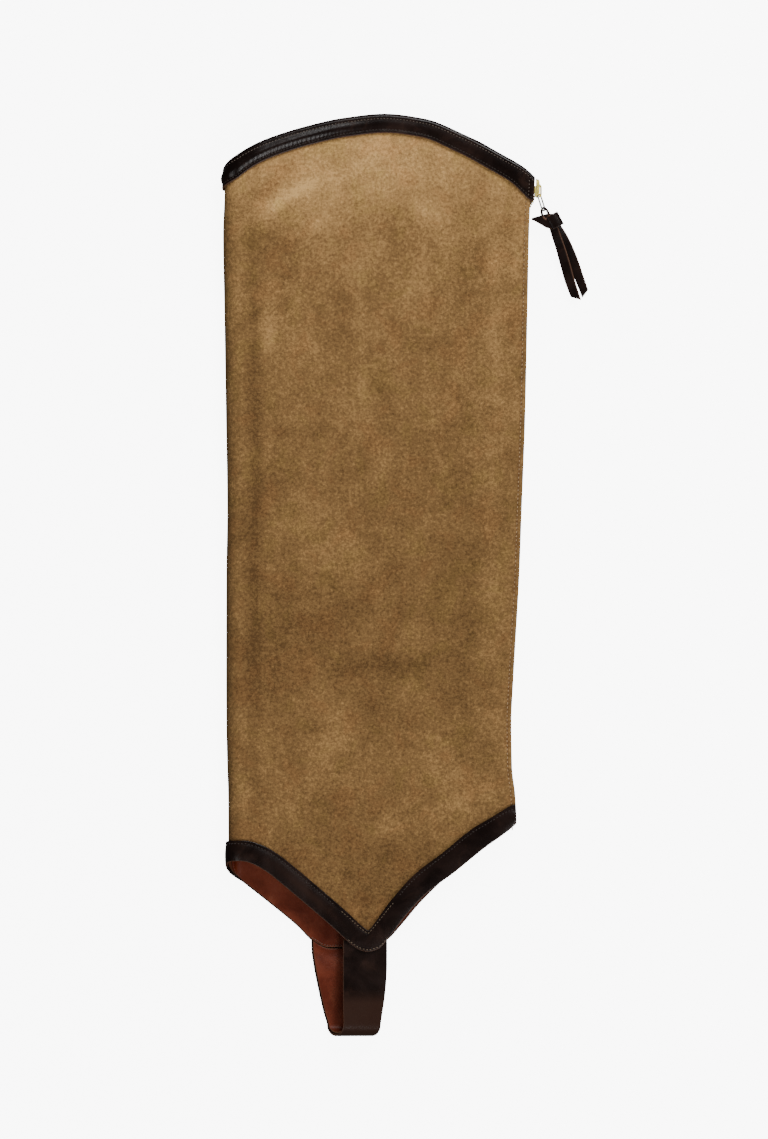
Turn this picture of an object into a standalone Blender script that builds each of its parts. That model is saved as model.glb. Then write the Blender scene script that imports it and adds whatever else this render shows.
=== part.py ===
"""A leather gaiter, laid flat: suede leg wrap, bound top, banded hem, stirrup strap and a zip with a thong pull.

+X runs from the fold to the zip, +Y up the leg, +Z up from the surface that the gaiter lies on.
Sizes are in millimetres until mesh_object turns them into metres.
"""

from collections import namedtuple
from math import cos, pi, radians, sin

import bmesh
import bpy
import numpy as np
from mathutils import Matrix, Vector

MM = 0.001
GAP = 0.3

# Leather and tape thicknesses.
SUEDE = 1.8
TOP_BINDING = 1.1
HEM_BANDING = 1.2
FACING = 1.0
STRAP_OUTER = 1.2
STRAP_LINING = 1.0
TAPE = 0.6

# Widths of the pieces that follow an edge.
TOP_BAND_WIDTH = 10.6
TOP_BAND_INSIDE = 8.0
HEM_BAND_WIDTH = 11.4
FACING_WIDTH = 26.0
TAPE_WIDTH = 13.0
BAND_STEP = HEM_BANDING + GAP
# The suede and the facing stop this far inside the hem band's free edge.
SUEDE_SETBACK = 1.0
FACING_SETBACK = 0.9
# The lower layer rides over the bands under it, and comes down again beyond the hem band's upper edge, as measured
# up the leg across the slant, and below the top band's foot.
HEM_BAND_RISE = 19.7
TOP_BAND_DROP = 14.6
LIFT_REACH = 34.0
# The top band's inner flap is cut back to a sliver near the zip, over this range of the girth share.
TOP_BAND_SLIVER = 0.4
TOP_BAND_CUTBACK = (0.10, 0.17)
# Heights that the search for a line's place starts from, and where the hem tips' columns are placed.
HEM_START = 90.0
TOP_START = 480.0
TIP_HEIGHT = 60.0
# Columns further than this from the fold are near a hem tip, or beyond it.
TIP_GIRTH = 40.0
UPPER_TIP_GIRTHS = (64.0, 70.0, 74.5, 78.0, 81.5, 85.5, 90.0, 95.0)
LOWER_TIP_GIRTHS = (46.0, 50.5, 56.0, 61.0, 67.0, 73.0, 79.0, 89.0)
CLOSEST_COLUMNS = 0.012
# Rows of the suede near its two ends, measured from the end.
WRAP_END_ROWS = (0.0, 5.0, 10.0, 16.0, 23.0, 32.0)
WRAP_MIDDLE_ROWS = 15

# The fold: how far its round reaches from the crest, and the length of leather in each half of it.
FOLD_REACH = 7.0
FOLD_HALF_GIRTH = 10.3

# Lines on the leather. Girth is measured from the fold's crest, plus on the upper layer and minus on the lower
# one. Height is measured up the leg from the foot of the stirrup strap.
Point = namedtuple("Point", "girth height")

TOP_LINE = [
    Point(-180.0, 466.0),
    Point(-166.0, 476.5),
    Point(-135.0, 495.0),
    Point(-112.0, 500.0),
    Point(-90.0, 498.5),
    Point(-60.0, 491.5),
    Point(-30.0, 480.5),
    Point(-14.0, 475.0),
    Point(-6.0, 474.8),
    Point(0.0, 477.5),
    Point(5.5, 482.0),
    Point(13.0, 487.3),
    Point(24.0, 492.8),
    Point(46.0, 500.0),
    Point(68.0, 504.9),
    Point(90.0, 507.1),
    Point(112.0, 504.4),
    Point(134.0, 495.6),
    Point(156.0, 484.0),
    Point(167.0, 477.4),
    Point(176.0, 469.0),
]

HEM_LINE = [
    Point(-166.0, 124.0),
    Point(-160.0, 116.0),
    Point(-145.0, 104.5),
    Point(-124.5, 88.0),
    Point(-107.5, 71.5),
    Point(-98.0, 60.5),
    Point(-89.0, 52.0),
    Point(-78.0, 48.2),
    Point(-66.0, 46.9),
    Point(-57.0, 48.0),
    Point(-48.6, 52.3),
    Point(-40.4, 60.4),
    Point(-26.6, 71.8),
    Point(-12.3, 83.1),
    Point(-5.2, 88.8),
    Point(0.0, 93.6),
    Point(5.2, 96.2),
    Point(10.1, 96.3),
    Point(16.2, 94.6),
    Point(22.8, 90.8),
    Point(31.0, 84.4),
    Point(40.4, 76.5),
    Point(59.6, 60.0),
    Point(70.1, 50.4),
    Point(74.5, 47.6),
    Point(79.0, 46.5),
    Point(85.0, 48.2),
    Point(89.6, 52.8),
    Point(99.4, 65.6),
    Point(112.0, 79.0),
    Point(126.7, 90.0),
    Point(144.0, 104.0),
    Point(153.1, 110.6),
    Point(159.4, 116.1),
    Point(163.0, 124.0),
]

# The flattened leg's two sides, seen from above: the fold's outer face and the zip edges.
Side = namedtuple("Side", "height fold zip")

SIDES = [
    Side(40.0, 3.4, 163.5),
    Side(108.0, 3.4, 162.2),
    Side(132.0, 3.3, 161.2),
    Side(148.0, 2.8, 159.4),
    Side(172.0, 2.3, 159.0),
    Side(196.0, 2.2, 160.1),
    Side(254.0, 2.3, 163.4),
    Side(289.0, 2.8, 164.7),
    Side(340.0, 2.1, 166.6),
    Side(405.0, 1.1, 168.0),
    Side(440.0, 0.5, 168.7),
    Side(462.0, 1.3, 169.6),
    Side(478.0, 1.7, 170.6),
    Side(510.0, 1.7, 172.5),
]

# The hollow between the two layers, from the fold (0) to the zip (1). The leather sags to lie on the lower layer.
Hollow = namedtuple("Hollow", "across gap")

HOLLOWS = [
    Hollow(0.0, 9.4),
    Hollow(0.06, 9.5),
    Hollow(0.16, 7.9),
    Hollow(0.30, 4.4),
    Hollow(0.45, 2.5),
    Hollow(0.62, 2.1),
    Hollow(0.76, 3.4),
    Hollow(0.88, 6.9),
    Hollow(0.95, 8.5),
    Hollow(1.0, 8.2),
]
# Near the hem and the top, the folded-in leather holds the two layers this much further apart.
EDGE_HOLLOW = 2.6
EDGE_HOLLOW_FADE = (2.4, 9.4)
HEM_HOLLOW_REACH = (105.0, 185.0)
TOP_HOLLOW_REACH = (425.0, 480.0)

# Shallow folds and dents of the upper layer: where, how far up or down, and how far they reach.
Dent = namedtuple("Dent", "across height depth half_width half_length")

DENTS = [
    Dent(0.10, 300.0, -0.7, 0.035, 150.0),
    Dent(0.50, 395.0, 0.9, 0.10, 60.0),
    Dent(0.34, 200.0, -0.9, 0.26, 10.0),
    Dent(0.66, 300.0, 0.9, 0.14, 55.0),
    Dent(0.40, 250.0, 1.0, 0.15, 42.0),
    Dent(0.80, 190.0, -0.8, 0.09, 60.0),
    Dent(0.25, 440.0, 0.8, 0.16, 22.0),
    Dent(0.74, 430.0, -0.7, 0.12, 34.0),
    Dent(0.62, 150.0, 0.8, 0.12, 26.0),
]

# The strap's middle line, from under the upper hem tip, round the foot and back under the lower one.
Station = namedtuple("Station", "across height up width tilt")

STRAP_BEND_RADIUS = 6.2
STRAP_BEND_HEIGHT = 6.8
STRAP_BEND_ACROSS = 72.4
STRAP_BEND_LEAN = 4.6
STRAP_BEND_WIDTH = 20.6
STRAP_BEND_STEPS = 9
STRAP_UPPER = [
    Station(78.6, 53.4, 9.63, 24.2, -1.0),
    Station(78.6, 47.0, 9.63, 24.2, -1.0),
    Station(78.6, 40.0, 9.9, 24.2, -0.8),
    Station(78.4, 31.0, 10.7, 23.9, -0.4),
    Station(78.0, 22.0, 11.7, 23.0, -0.1),
    Station(77.4, 13.0, 12.6, 21.6, 0.0),
]
STRAP_LOWER = [
    Station(66.6, 13.0, 0.6, 21.8, 0.0),
    Station(64.8, 23.0, 0.6, 22.8, 0.0),
    Station(63.0, 34.0, 0.7, 23.8, 0.0),
    Station(62.0, 41.0, 1.3, 24.2, 0.0),
    Station(61.2, 47.0, 2.1, 24.2, 0.0),
    Station(61.0, 53.4, 2.1, 24.2, 0.0),
]
STRAP_LINING_END = 48.6
SUEDE_TIP_CUT = 54.0
FACING_TIP_CUT = 49.0
# The facing's two ends, as girth shares from the zip edges.
FACING_END = 0.12

# The zip stands on edge between the layers, its face to +X.
CHAIN_WIDTH = 5.6
CHAIN_THICKNESS = 2.0
CHAIN_SETBACK = 1.7
CHAIN_FOOT = 137.0
CHAIN_HEAD = 462.5
CHAIN_OUT_AT_HEAD = 3.2
CHAIN_BEND = 10.5
CHAIN_STEPS = 26
CHAIN_HEAD_ROWS = (8.0, 6.0, 4.0, 2.0, 1.0)
TAPE_SETBACK = 1.5
TAPE_FOOT = 131.5
TAPE_HEAD = 466.0
STOP_FOOT = 132.4
STOP_LENGTH = 4.2
STOP_GROW = 0.4
# The top band's two ends pass the zip edges by this girth share.
BAND_OVERHANG = 0.0115

# The slider stands at the zip's head. Its bail is a wire bow that the pull's link turns in.
SLIDER_FOOT = 460.8
SLIDER_LENGTH = 10.6
SLIDER_WIDTH = 7.4
SLIDER_BACK_LENGTH = 7.4
PLATE = 0.9
PLATE_FACE = 173.4
PLATE_BETWEEN = 2.7
PLATE_CORNER = 2.2
WEDGE_WIDTH = 2.6
WEDGE_FOOT = 463.3
WEDGE_HEAD = 467.4
BAIL_WIRE = 0.5
BAIL_FOOT = 461.5
BAIL_LENGTH = 6.4
BAIL_RISE = 1.85
BAIL_CORNER = 0.5

# The pull: an oval wire link, and a thong with an eye, a knot and two tails.
LINK_WIRE = 0.45
LINK_LENGTH = 9.4
LINK_END = 1.8
LINK_WIDTH = 6.4
LINK_AIM = radians(-72.5)
LINK_PLACE = (174.08, 462.75)
EYE_RADIUS = 2.3
EYE_HOLE = 0.8
EYE_DEPTH = 3.8
CUTTER_EXTRA = 2.0
NECK_LENGTH = 3.6
KNOT_OUTLINE = [(170.7, 449.0), (174.8, 451.3), (181.5, 451.6), (186.2, 445.4), (183.5, 443.3), (177.6, 443.2)]
KNOT_HALF = 1.9
KNOT_ROUND = 1.1

# Each tail's middle line on plan, its height above the surface, its width and the rise across it.
Tail = namedtuple("Tail", "across height up width tilt")

TAIL_THICKNESS = 1.6
LEFT_TAIL = [
    Tail(181.4, 447.5, 7.2, 5.0, 0.0),
    Tail(183.4, 441.0, 6.4, 5.2, 0.0),
    Tail(185.7, 434.0, 5.2, 5.1, 0.0),
    Tail(188.5, 424.5, 4.1, 5.1, 0.0),
    Tail(190.9, 415.8, 3.6, 5.1, 0.0),
    Tail(194.6, 405.6, 3.4, 4.6, 0.0),
]
RIGHT_TAIL = [
    Tail(183.0, 447.0, 6.0, 5.0, 0.0),
    Tail(187.0, 440.5, 4.2, 5.0, 0.0),
    Tail(190.2, 434.0, 2.9, 5.0, 0.0),
    Tail(193.6, 425.5, 1.6, 5.2, 0.0),
    Tail(196.6, 416.5, 1.2, 5.4, 0.0),
    Tail(199.8, 407.8, 1.1, 4.8, 0.0),
]

# Base colour, roughness and metallic value of each material.
Finish = namedtuple("Finish", "colour roughness metallic")

FINISHES = {
    "suede": Finish((0.245, 0.150, 0.065), 0.95, 0.0),
    "dark_leather": Finish((0.022, 0.012, 0.010), 0.38, 0.0),
    "russet_leather": Finish((0.115, 0.026, 0.014), 0.45, 0.0),
    "zip_tape": Finish((0.070, 0.022, 0.012), 0.85, 0.0),
    "zip_brass": Finish((0.72, 0.52, 0.20), 0.28, 1.0),
    "stop_metal": Finish((0.20, 0.20, 0.19), 0.40, 1.0),
    "pull_plate": Finish((0.62, 0.58, 0.50), 0.25, 1.0),
}


def clear_scene():
    for old in list(bpy.data.objects):
        bpy.data.objects.remove(old)


def material(name):
    finish = FINISHES[name]
    made = bpy.data.materials.get(name) or bpy.data.materials.new(name)
    made.use_nodes = True
    shader = made.node_tree.nodes["Principled BSDF"]
    shader.inputs["Base Color"].default_value = (*finish.colour, 1.0)
    shader.inputs["Roughness"].default_value = finish.roughness
    shader.inputs["Metallic"].default_value = finish.metallic
    return made


def column(rows, name):
    return np.array([getattr(row, name) for row in rows])


def smooth_curve(rows, along, value, at):
    """A smooth curve through the rows' points that never swings past them: cubic pieces with limited slopes."""
    x, y = column(rows, along), column(rows, value)
    at = np.clip(np.asarray(at, float), x[0], x[-1])
    steps = np.diff(x)
    rises = np.diff(y) / steps
    same_way = rises[:-1] * rises[1:] > 0
    product = np.where(same_way, rises[:-1] * rises[1:], 0.0)
    total = np.where(same_way, rises[:-1] + rises[1:], 1.0)
    slopes = np.concatenate([rises[:1], 2 * product / total, rises[-1:]])
    piece = np.clip(np.searchsorted(x, at, side="right") - 1, 0, len(x) - 2)
    t = (at - x[piece]) / steps[piece]
    near = (1 + 2 * t) * (1 - t) ** 2 * y[piece] + t * (1 - t) ** 2 * steps[piece] * slopes[piece]
    far = t**2 * (3 - 2 * t) * y[piece + 1] - t**2 * (1 - t) * steps[piece] * slopes[piece + 1]
    return near + far


def ease(low, high, value):
    """0 up to low, 1 from high on, with a smooth rise between."""
    t = np.clip((value - low) / (high - low), 0.0, 1.0)
    return t * t * (3 - 2 * t)


# The leg wrap's form. A place on the leather is its girth share s, from 0 at the upper zip edge over 1 and 2 at
# the fold's two shoulders to 3 at the lower zip edge, and its height up the leg.


def fold_shoulder(height):
    return smooth_curve(SIDES, "height", "fold", height) + SUEDE / 2 + FOLD_REACH


def zip_edge(height):
    return smooth_curve(SIDES, "height", "zip", height)


def girth_of(s, height):
    """The distance along the leather from the fold's crest."""
    flat = zip_edge(height) - fold_shoulder(height)
    on_fold = FOLD_HALF_GIRTH * (3 - 2 * s)
    return np.where(
        s < 1,
        FOLD_HALF_GIRTH + (1 - s) * flat,
        np.where(s > 2, -FOLD_HALF_GIRTH - (s - 2) * flat, on_fold),
    )


def share_of(girth, height):
    """The share s of a girth that lies on one of the two flat layers."""
    flat = zip_edge(height) - fold_shoulder(height)
    return np.where(girth > 0, 1 - (girth - FOLD_HALF_GIRTH) / flat, 2 + (-girth - FOLD_HALF_GIRTH) / flat)


def line_height(rows, s, start):
    """The height at which a line on the leather crosses the column s, found in a few rounds from a first height."""
    height = np.full_like(s, start)
    for _ in range(4):
        height = smooth_curve(rows, "girth", "height", girth_of(s, height))
    return height


def band_line_height(rows, s, start, width, side):
    """The line one width in from an edge line: the furthest that a disc rolled along the edge reaches.

    side is 1 for a band above its edge and -1 for a band below it.
    """
    girth = girth_of(s, np.full_like(s, start))
    reach = np.linspace(-width, width, 61)
    edge = smooth_curve(rows, "girth", "height", girth[:, None] + reach[None, :])
    return side * (side * edge + np.sqrt(width**2 - reach**2)[None, :]).max(axis=1)


def layer_lift(across, height):
    """How far the lower layer is raised over the bands that lie under it."""
    girth = -(across - fold_shoulder(height)) - FOLD_HALF_GIRTH
    hem = smooth_curve(HEM_LINE, "girth", "height", girth)
    top = smooth_curve(TOP_LINE, "girth", "height", girth)
    near_hem = 1 - ease(hem + HEM_BAND_RISE, hem + HEM_BAND_RISE + LIFT_REACH, height)
    near_top = ease(top - TOP_BAND_DROP - LIFT_REACH, top - TOP_BAND_DROP, height)
    return BAND_STEP * np.maximum(near_hem, near_top)


def hollow(across_share, height):
    """The gap between the two layers, with the upper layer's shallow folds."""
    gap = smooth_curve(HOLLOWS, "across", "gap", across_share)
    near_ends = 1 - ease(*HEM_HOLLOW_REACH, height) + ease(*TOP_HOLLOW_REACH, height)
    gap = gap + EDGE_HOLLOW * near_ends * (1 - ease(*EDGE_HOLLOW_FADE, gap))
    for dent in DENTS:
        x = (across_share - dent.across) / dent.half_width
        y = (height - dent.height) / dent.half_length
        gap = gap + dent.depth * np.exp(-(x**2) - y**2)
    return gap


def wrap_point(s, height):
    """The middle of the suede's thickness at share s and this height."""
    s, height = np.broadcast_arrays(np.asarray(s, float), np.asarray(height, float))
    shoulder = fold_shoulder(height)
    flat = zip_edge(height) - shoulder
    share = np.where(s < 1, 1 - s, np.where(s > 2, s - 2, 0.0))
    across = shoulder + share * flat
    low = SUEDE / 2 + layer_lift(across, height)
    high = low + SUEDE + hollow(np.clip(share, 0, 1), height)
    turn = np.clip(s - 1, 0, 1) * pi
    up = np.where(s < 1, high, np.where(s > 2, low, (high + low) / 2 + (high - low) / 2 * np.cos(turn)))
    across = across - FOLD_REACH * np.sin(turn)
    return np.stack([across, height, up], axis=-1)


def wrap_normal(s, height):
    """The direction out of the gaiter there."""
    small_s, small_height = 1e-3, 0.05
    along_s = wrap_point(s + small_s, height) - wrap_point(s - small_s, height)
    along_height = wrap_point(s, height + small_height) - wrap_point(s, height - small_height)
    out = np.cross(along_height, along_s)
    return out / np.linalg.norm(out, axis=-1, keepdims=True)


def on_wrap(s, height, out):
    """A point moved out of the suede's middle by this distance."""
    return wrap_point(s, height) + wrap_normal(s, height) * np.asarray(out)[..., None]


def shares(low, high):
    """The columns of a piece, from share low to share high: closer at the fold and the hem's tips."""
    upper = np.linspace(0.0, 1.0, 17)
    fold = np.linspace(1.0, 2.0, 9)
    lower = np.linspace(2.0, 3.0, 13)
    upper_tip = share_of(np.array(UPPER_TIP_GIRTHS), TIP_HEIGHT)
    lower_tip = share_of(-np.array(LOWER_TIP_GIRTHS), TIP_HEIGHT)
    every = np.concatenate([upper, fold, lower, upper_tip, lower_tip])
    every = np.sort(every[(every >= low) & (every <= high)])
    keep = np.concatenate([[True], np.diff(every) > CLOSEST_COLUMNS])
    every = every[keep]
    every[0], every[-1] = low, high
    return every


# Turning grids of points into objects.


def mesh_object(name, points, faces, finish, smooth=True):
    mesh = bpy.data.meshes.new(name)
    mesh.from_pydata([Vector(point) * MM for point in points], [], faces)
    mesh.validate()
    mesh.materials.append(material(finish))
    if smooth:
        mesh.shade_smooth()
    made = bpy.data.objects.new(name, mesh)
    gaiter.objects.link(made)
    made.parent = origin
    return made


def sheet(name, grid, thickness, finish):
    """A piece of leather: an open grid of points with half its thickness on each side."""
    rows, columns = grid.shape[:2]
    faces = [
        (r * columns + c, r * columns + c + 1, (r + 1) * columns + c + 1, (r + 1) * columns + c)
        for r in range(rows - 1)
        for c in range(columns - 1)
    ]
    made = mesh_object(name, grid.reshape(-1, 3), faces, finish)
    wall = made.modifiers.new("Thickness", "SOLIDIFY")
    wall.thickness = thickness * MM
    wall.offset = 0.0
    wall.use_even_offset = True
    return made


def cut_at_tips(low, s, height):
    """A lower edge, cut straight across at this height where it runs into a hem tip."""
    near_tip = np.abs(girth_of(s, TIP_HEIGHT)) > TIP_GIRTH
    return np.where(near_tip, np.maximum(low, height), low)


def suede_wrap():
    """The leg wrap, with closer rows near the hem and the top."""
    s = shares(0.0, 3.0)
    hem = line_height(HEM_LINE, s, HEM_START)
    slant = np.gradient(hem, girth_of(s, HEM_START))
    low = cut_at_tips(hem + SUEDE_SETBACK * np.hypot(1, slant), s, SUEDE_TIP_CUT)
    high = line_height(TOP_LINE, s, TOP_START) - TOP_BINDING - 3 * GAP
    first, last = low + WRAP_END_ROWS[-1], high - WRAP_END_ROWS[-1]
    middle = np.linspace(0.0, 1.0, WRAP_MIDDLE_ROWS + 2)[1:-1]
    rows = [low + end for end in WRAP_END_ROWS]
    rows += [first + share * (last - first) for share in middle]
    rows += [high - end for end in WRAP_END_ROWS[::-1]]
    height = np.array(rows)
    return sheet("suede_wrap", wrap_point(s[None, :], height), SUEDE, "suede")


def top_band():
    """A strip folded over the top edge: down the outside, round the edge and a little way down the inside."""
    s = shares(-BAND_OVERHANG, 3 + BAND_OVERHANG)
    edge = line_height(TOP_LINE, s, TOP_START)
    foot = band_line_height(TOP_LINE, s, TOP_START, TOP_BAND_WIDTH, -1)
    off = SUEDE / 2 + GAP + TOP_BINDING / 2
    near_zip = np.minimum(s, 3 - s)
    inside = TOP_BAND_SLIVER + (TOP_BAND_INSIDE - TOP_BAND_SLIVER) * ease(*TOP_BAND_CUTBACK, near_zip)
    crown = edge - off
    rows = [(foot, off), ((foot + crown) / 2, off), (crown, off)]
    for turn in (45.0, 90.0, 135.0):
        rows.append((crown + (off - TOP_BINDING / 2) * sin(radians(turn)), off * cos(radians(turn))))
    rows += [(crown, -off), (crown - inside, -off)]
    grid = [on_wrap(s, height, np.full_like(s, out)) for height, out in rows]
    return sheet("top_band", np.array(grid), TOP_BINDING, "dark_leather")


def hem_band():
    """A strip on the outside of the hem, its free edge at the hem line."""
    s = shares(0.0, 3.0)
    low = line_height(HEM_LINE, s, HEM_START)
    high = band_line_height(HEM_LINE, s, HEM_START, HEM_BAND_WIDTH, 1)
    off = SUEDE / 2 + GAP + HEM_BANDING / 2
    grid = [on_wrap(s, low + share * (high - low), np.full_like(s, off)) for share in (0.0, 0.33, 0.67, 1.0)]
    return sheet("hem_band", np.array(grid), HEM_BANDING, "dark_leather")


def hem_facing():
    """A strip inside the hem, from near one zip tape to near the other, cut round at the strap's two ends."""
    s = shares(FACING_END, 3.0 - FACING_END)
    low = cut_at_tips(line_height(HEM_LINE, s, HEM_START) + FACING_SETBACK, s, FACING_TIP_CUT)
    high = band_line_height(HEM_LINE, s, HEM_START, FACING_WIDTH, 1)
    off = -(SUEDE / 2 + GAP + FACING / 2)
    grid = [on_wrap(s, low + share * (high - low), np.full_like(s, off)) for share in (0.0, 0.3, 0.65, 1.0)]
    return sheet("hem_facing", np.array(grid), FACING, "russet_leather")


def strap_line():
    """The strap's stations: the upper strand down to the bend, half a turn round it and the lower strand back."""
    turns = np.linspace(0.0, pi, STRAP_BEND_STEPS)
    bend = [
        Station(
            STRAP_BEND_ACROSS + STRAP_BEND_LEAN * cos(turn),
            STRAP_BEND_HEIGHT - STRAP_BEND_RADIUS * sin(turn),
            STRAP_OUTER / 2 + STRAP_BEND_RADIUS * (1 + cos(turn)),
            STRAP_BEND_WIDTH,
            0.0,
        )
        for turn in turns
    ]
    return STRAP_UPPER + bend + STRAP_LOWER


def strip_grid(stations, inward=0.0):
    """Three points across each station of a strip, moved this far to its inner side."""
    middle = np.array([station[:3] for station in stations])
    width = column(stations, "width")
    along = np.gradient(middle, axis=0)
    out = np.cross(along, (1.0, 0.0, 0.0))
    out /= np.linalg.norm(out, axis=1, keepdims=True)
    side = np.stack([width / 2, np.zeros_like(width), column(stations, "tilt") / 2], axis=-1)
    rows = [middle - out * inward + share * side for share in (-1.0, 0.0, 1.0)]
    return np.array(rows)


def strap():
    """The strap's two plies. The lining ends at the facing, and the outer ply runs on into the suede's layer."""
    stations = strap_line()
    sheet("strap_outer", strip_grid(stations), STRAP_OUTER, "dark_leather")
    inward = STRAP_OUTER / 2 + GAP + STRAP_LINING / 2
    inner = [station for station in stations if station.height < STRAP_LINING_END]
    first, last = stations[0], stations[-1]
    ends = [end._replace(height=STRAP_LINING_END) for end in (first, last)]
    grid = strip_grid([ends[0], *inner, ends[1]], inward)
    sheet("strap_lining", grid, STRAP_LINING, "russet_leather")


def zip_middle(height):
    """Half-way up between the two layers at the zip."""
    return (wrap_point(0.0, height)[..., 2] + wrap_point(3.0, height)[..., 2]) / 2


def chain_across(height):
    """The chain's middle: just inside the zip edges, and bent out to the slider at its head."""
    head = ease(CHAIN_HEAD - CHAIN_BEND, CHAIN_HEAD - CHAIN_HEAD_ROWS[-1], height)
    return zip_edge(height) - CHAIN_SETBACK + CHAIN_OUT_AT_HEAD * head


def upright_strip(name, height, width, thickness, finish):
    """A strip on edge along the zip."""
    rows = [
        np.stack([chain_across(height), height, zip_middle(height) + side * width / 2], axis=-1)
        for side in (-1.0, 1.0)
    ]
    return sheet(name, np.array(rows), thickness, finish)


def zip_tape(name, lower):
    """A woven tape on the inside of one layer's zip edge."""
    height = np.linspace(TAPE_FOOT, TAPE_HEAD, CHAIN_STEPS + 2)
    flat = zip_edge(height) - fold_shoulder(height)
    rows = []
    for inset in (TAPE_SETBACK, TAPE_SETBACK + TAPE_WIDTH / 2, TAPE_SETBACK + TAPE_WIDTH):
        s = inset / flat
        s = 3 - s if lower else s
        rows.append(on_wrap(s, height, np.full_like(s, -(SUEDE / 2 + GAP + TAPE / 2))))
    return sheet(name, np.array(rows), TAPE, "zip_tape")


def zip_parts():
    zip_tape("zip_tape_front", False)
    zip_tape("zip_tape_back", True)
    height = np.linspace(CHAIN_FOOT, CHAIN_HEAD, CHAIN_STEPS)
    height = np.unique(np.concatenate([height, CHAIN_HEAD - np.array(CHAIN_HEAD_ROWS)]))
    upright_strip("zip_chain", height, CHAIN_WIDTH, CHAIN_THICKNESS, "zip_brass")
    height = STOP_FOOT + np.array([0.0, STOP_LENGTH])
    upright_strip("zip_stop", height, CHAIN_WIDTH - STOP_GROW, CHAIN_THICKNESS + STOP_GROW, "stop_metal")


def box(name, low, high, finish, corner=0.0):
    """A block between two corners, its corners seen from +X rounded by a bevel."""
    mesh = bpy.data.meshes.new(name)
    shape = bmesh.new()
    bmesh.ops.create_cube(shape, size=1.0)
    size = (Vector(high) - Vector(low)) * MM
    bmesh.ops.scale(shape, vec=size, verts=shape.verts)
    bmesh.ops.translate(shape, vec=(Vector(high) + Vector(low)) * MM / 2, verts=shape.verts)
    if corner:
        rounded = [edge for edge in shape.edges if abs((edge.verts[0].co - edge.verts[1].co).x) > size.x / 2]
        bmesh.ops.bevel(shape, geom=rounded, offset=corner * MM, segments=4, profile=0.5, affect="EDGES")
    shape.to_mesh(mesh)
    shape.free()
    mesh.materials.append(material(finish))
    made = bpy.data.objects.new(name, mesh)
    gaiter.objects.link(made)
    made.parent = origin
    return made


def wire(name, points, radius, finish, closed=False):
    """A round wire through the points, as a curve object."""
    curve = bpy.data.curves.new(name, "CURVE")
    curve.dimensions = "3D"
    curve.bevel_depth = radius * MM
    curve.bevel_resolution = 2
    curve.use_fill_caps = not closed
    spline = curve.splines.new("POLY")
    spline.points.add(len(points) - 1)
    for point, place in zip(spline.points, points):
        point.co = (*(Vector(place) * MM), 1.0)
    spline.use_cyclic_u = closed
    curve.materials.append(material(finish))
    made = bpy.data.objects.new(name, curve)
    gaiter.objects.link(made)
    made.parent = origin
    return made


def as_mesh(curve_object):
    """The mesh of a curve object, its caps welded on, in the curve's place."""
    bpy.context.view_layer.update()
    graph = bpy.context.evaluated_depsgraph_get()
    mesh = bpy.data.meshes.new_from_object(curve_object.evaluated_get(graph))
    shape = bmesh.new()
    shape.from_mesh(mesh)
    bmesh.ops.remove_doubles(shape, verts=shape.verts, dist=1e-6)
    shape.to_mesh(mesh)
    shape.free()
    name = curve_object.name
    place = curve_object.matrix_world.copy()
    bpy.data.objects.remove(curve_object)
    made = bpy.data.objects.new(name, mesh)
    made.matrix_world = place
    gaiter.objects.link(made)
    made.parent = origin
    return made


def join(body, others, operation="UNION"):
    """Joins helpers to a body, or cuts them from it."""
    for other in others:
        gaiter.objects.unlink(other)
        helpers.objects.link(other)
        other.hide_render = True
        other.display_type = "WIRE"
        step = body.modifiers.new(other.name, "BOOLEAN")
        step.operation = operation
        step.object = other
        step.solver = "EXACT"


def zip_slider():
    """Two plates on either side of the chain, held together by a wedge above it, with the bail on the face."""
    middle = float(zip_middle(SLIDER_FOOT + SLIDER_LENGTH / 2))
    half = SLIDER_WIDTH / 2
    head = SLIDER_FOOT + SLIDER_LENGTH
    face = PLATE_FACE
    back = face - PLATE - PLATE_BETWEEN
    low, high = (face - PLATE, SLIDER_FOOT, middle - half), (face, head, middle + half)
    slider = box("zip_slider", low, high, "zip_brass", PLATE_CORNER)
    low = (back - PLATE, SLIDER_FOOT, middle - half)
    high = (back, SLIDER_FOOT + SLIDER_BACK_LENGTH, middle + half)
    plate = box("slider_back", low, high, "zip_brass", PLATE_CORNER)
    low = (back - PLATE / 2, WEDGE_FOOT, middle - WEDGE_WIDTH / 2)
    high = (face - PLATE / 2, WEDGE_HEAD, middle + WEDGE_WIDTH / 2)
    wedge = box("slider_wedge", low, high, "zip_brass")
    inner, outer = face - PLATE / 2, face + BAIL_RISE
    top = BAIL_FOOT + BAIL_LENGTH
    half_bow = [(inner, BAIL_FOOT), (outer - BAIL_CORNER, BAIL_FOOT), (outer, BAIL_FOOT + BAIL_CORNER)]
    other_half = [(across, BAIL_FOOT + top - height) for across, height in half_bow[::-1]]
    bow = [(across, height, middle) for across, height in half_bow + other_half]
    bail = as_mesh(wire("slider_bail", bow, BAIL_WIRE, "zip_brass"))
    join(slider, [plate, wedge, bail])


def cylinder(name, centre, radius, depth):
    """An upright cylinder."""
    mesh = bpy.data.meshes.new(name)
    shape = bmesh.new()
    bmesh.ops.create_cone(
        shape, cap_ends=True, segments=20, radius1=radius * MM, radius2=radius * MM, depth=depth * MM
    )
    shape.to_mesh(mesh)
    shape.free()
    mesh.materials.append(material("dark_leather"))
    made = bpy.data.objects.new(name, mesh)
    made.location = Vector(centre) * MM
    gaiter.objects.link(made)
    made.parent = origin
    return made


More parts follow.
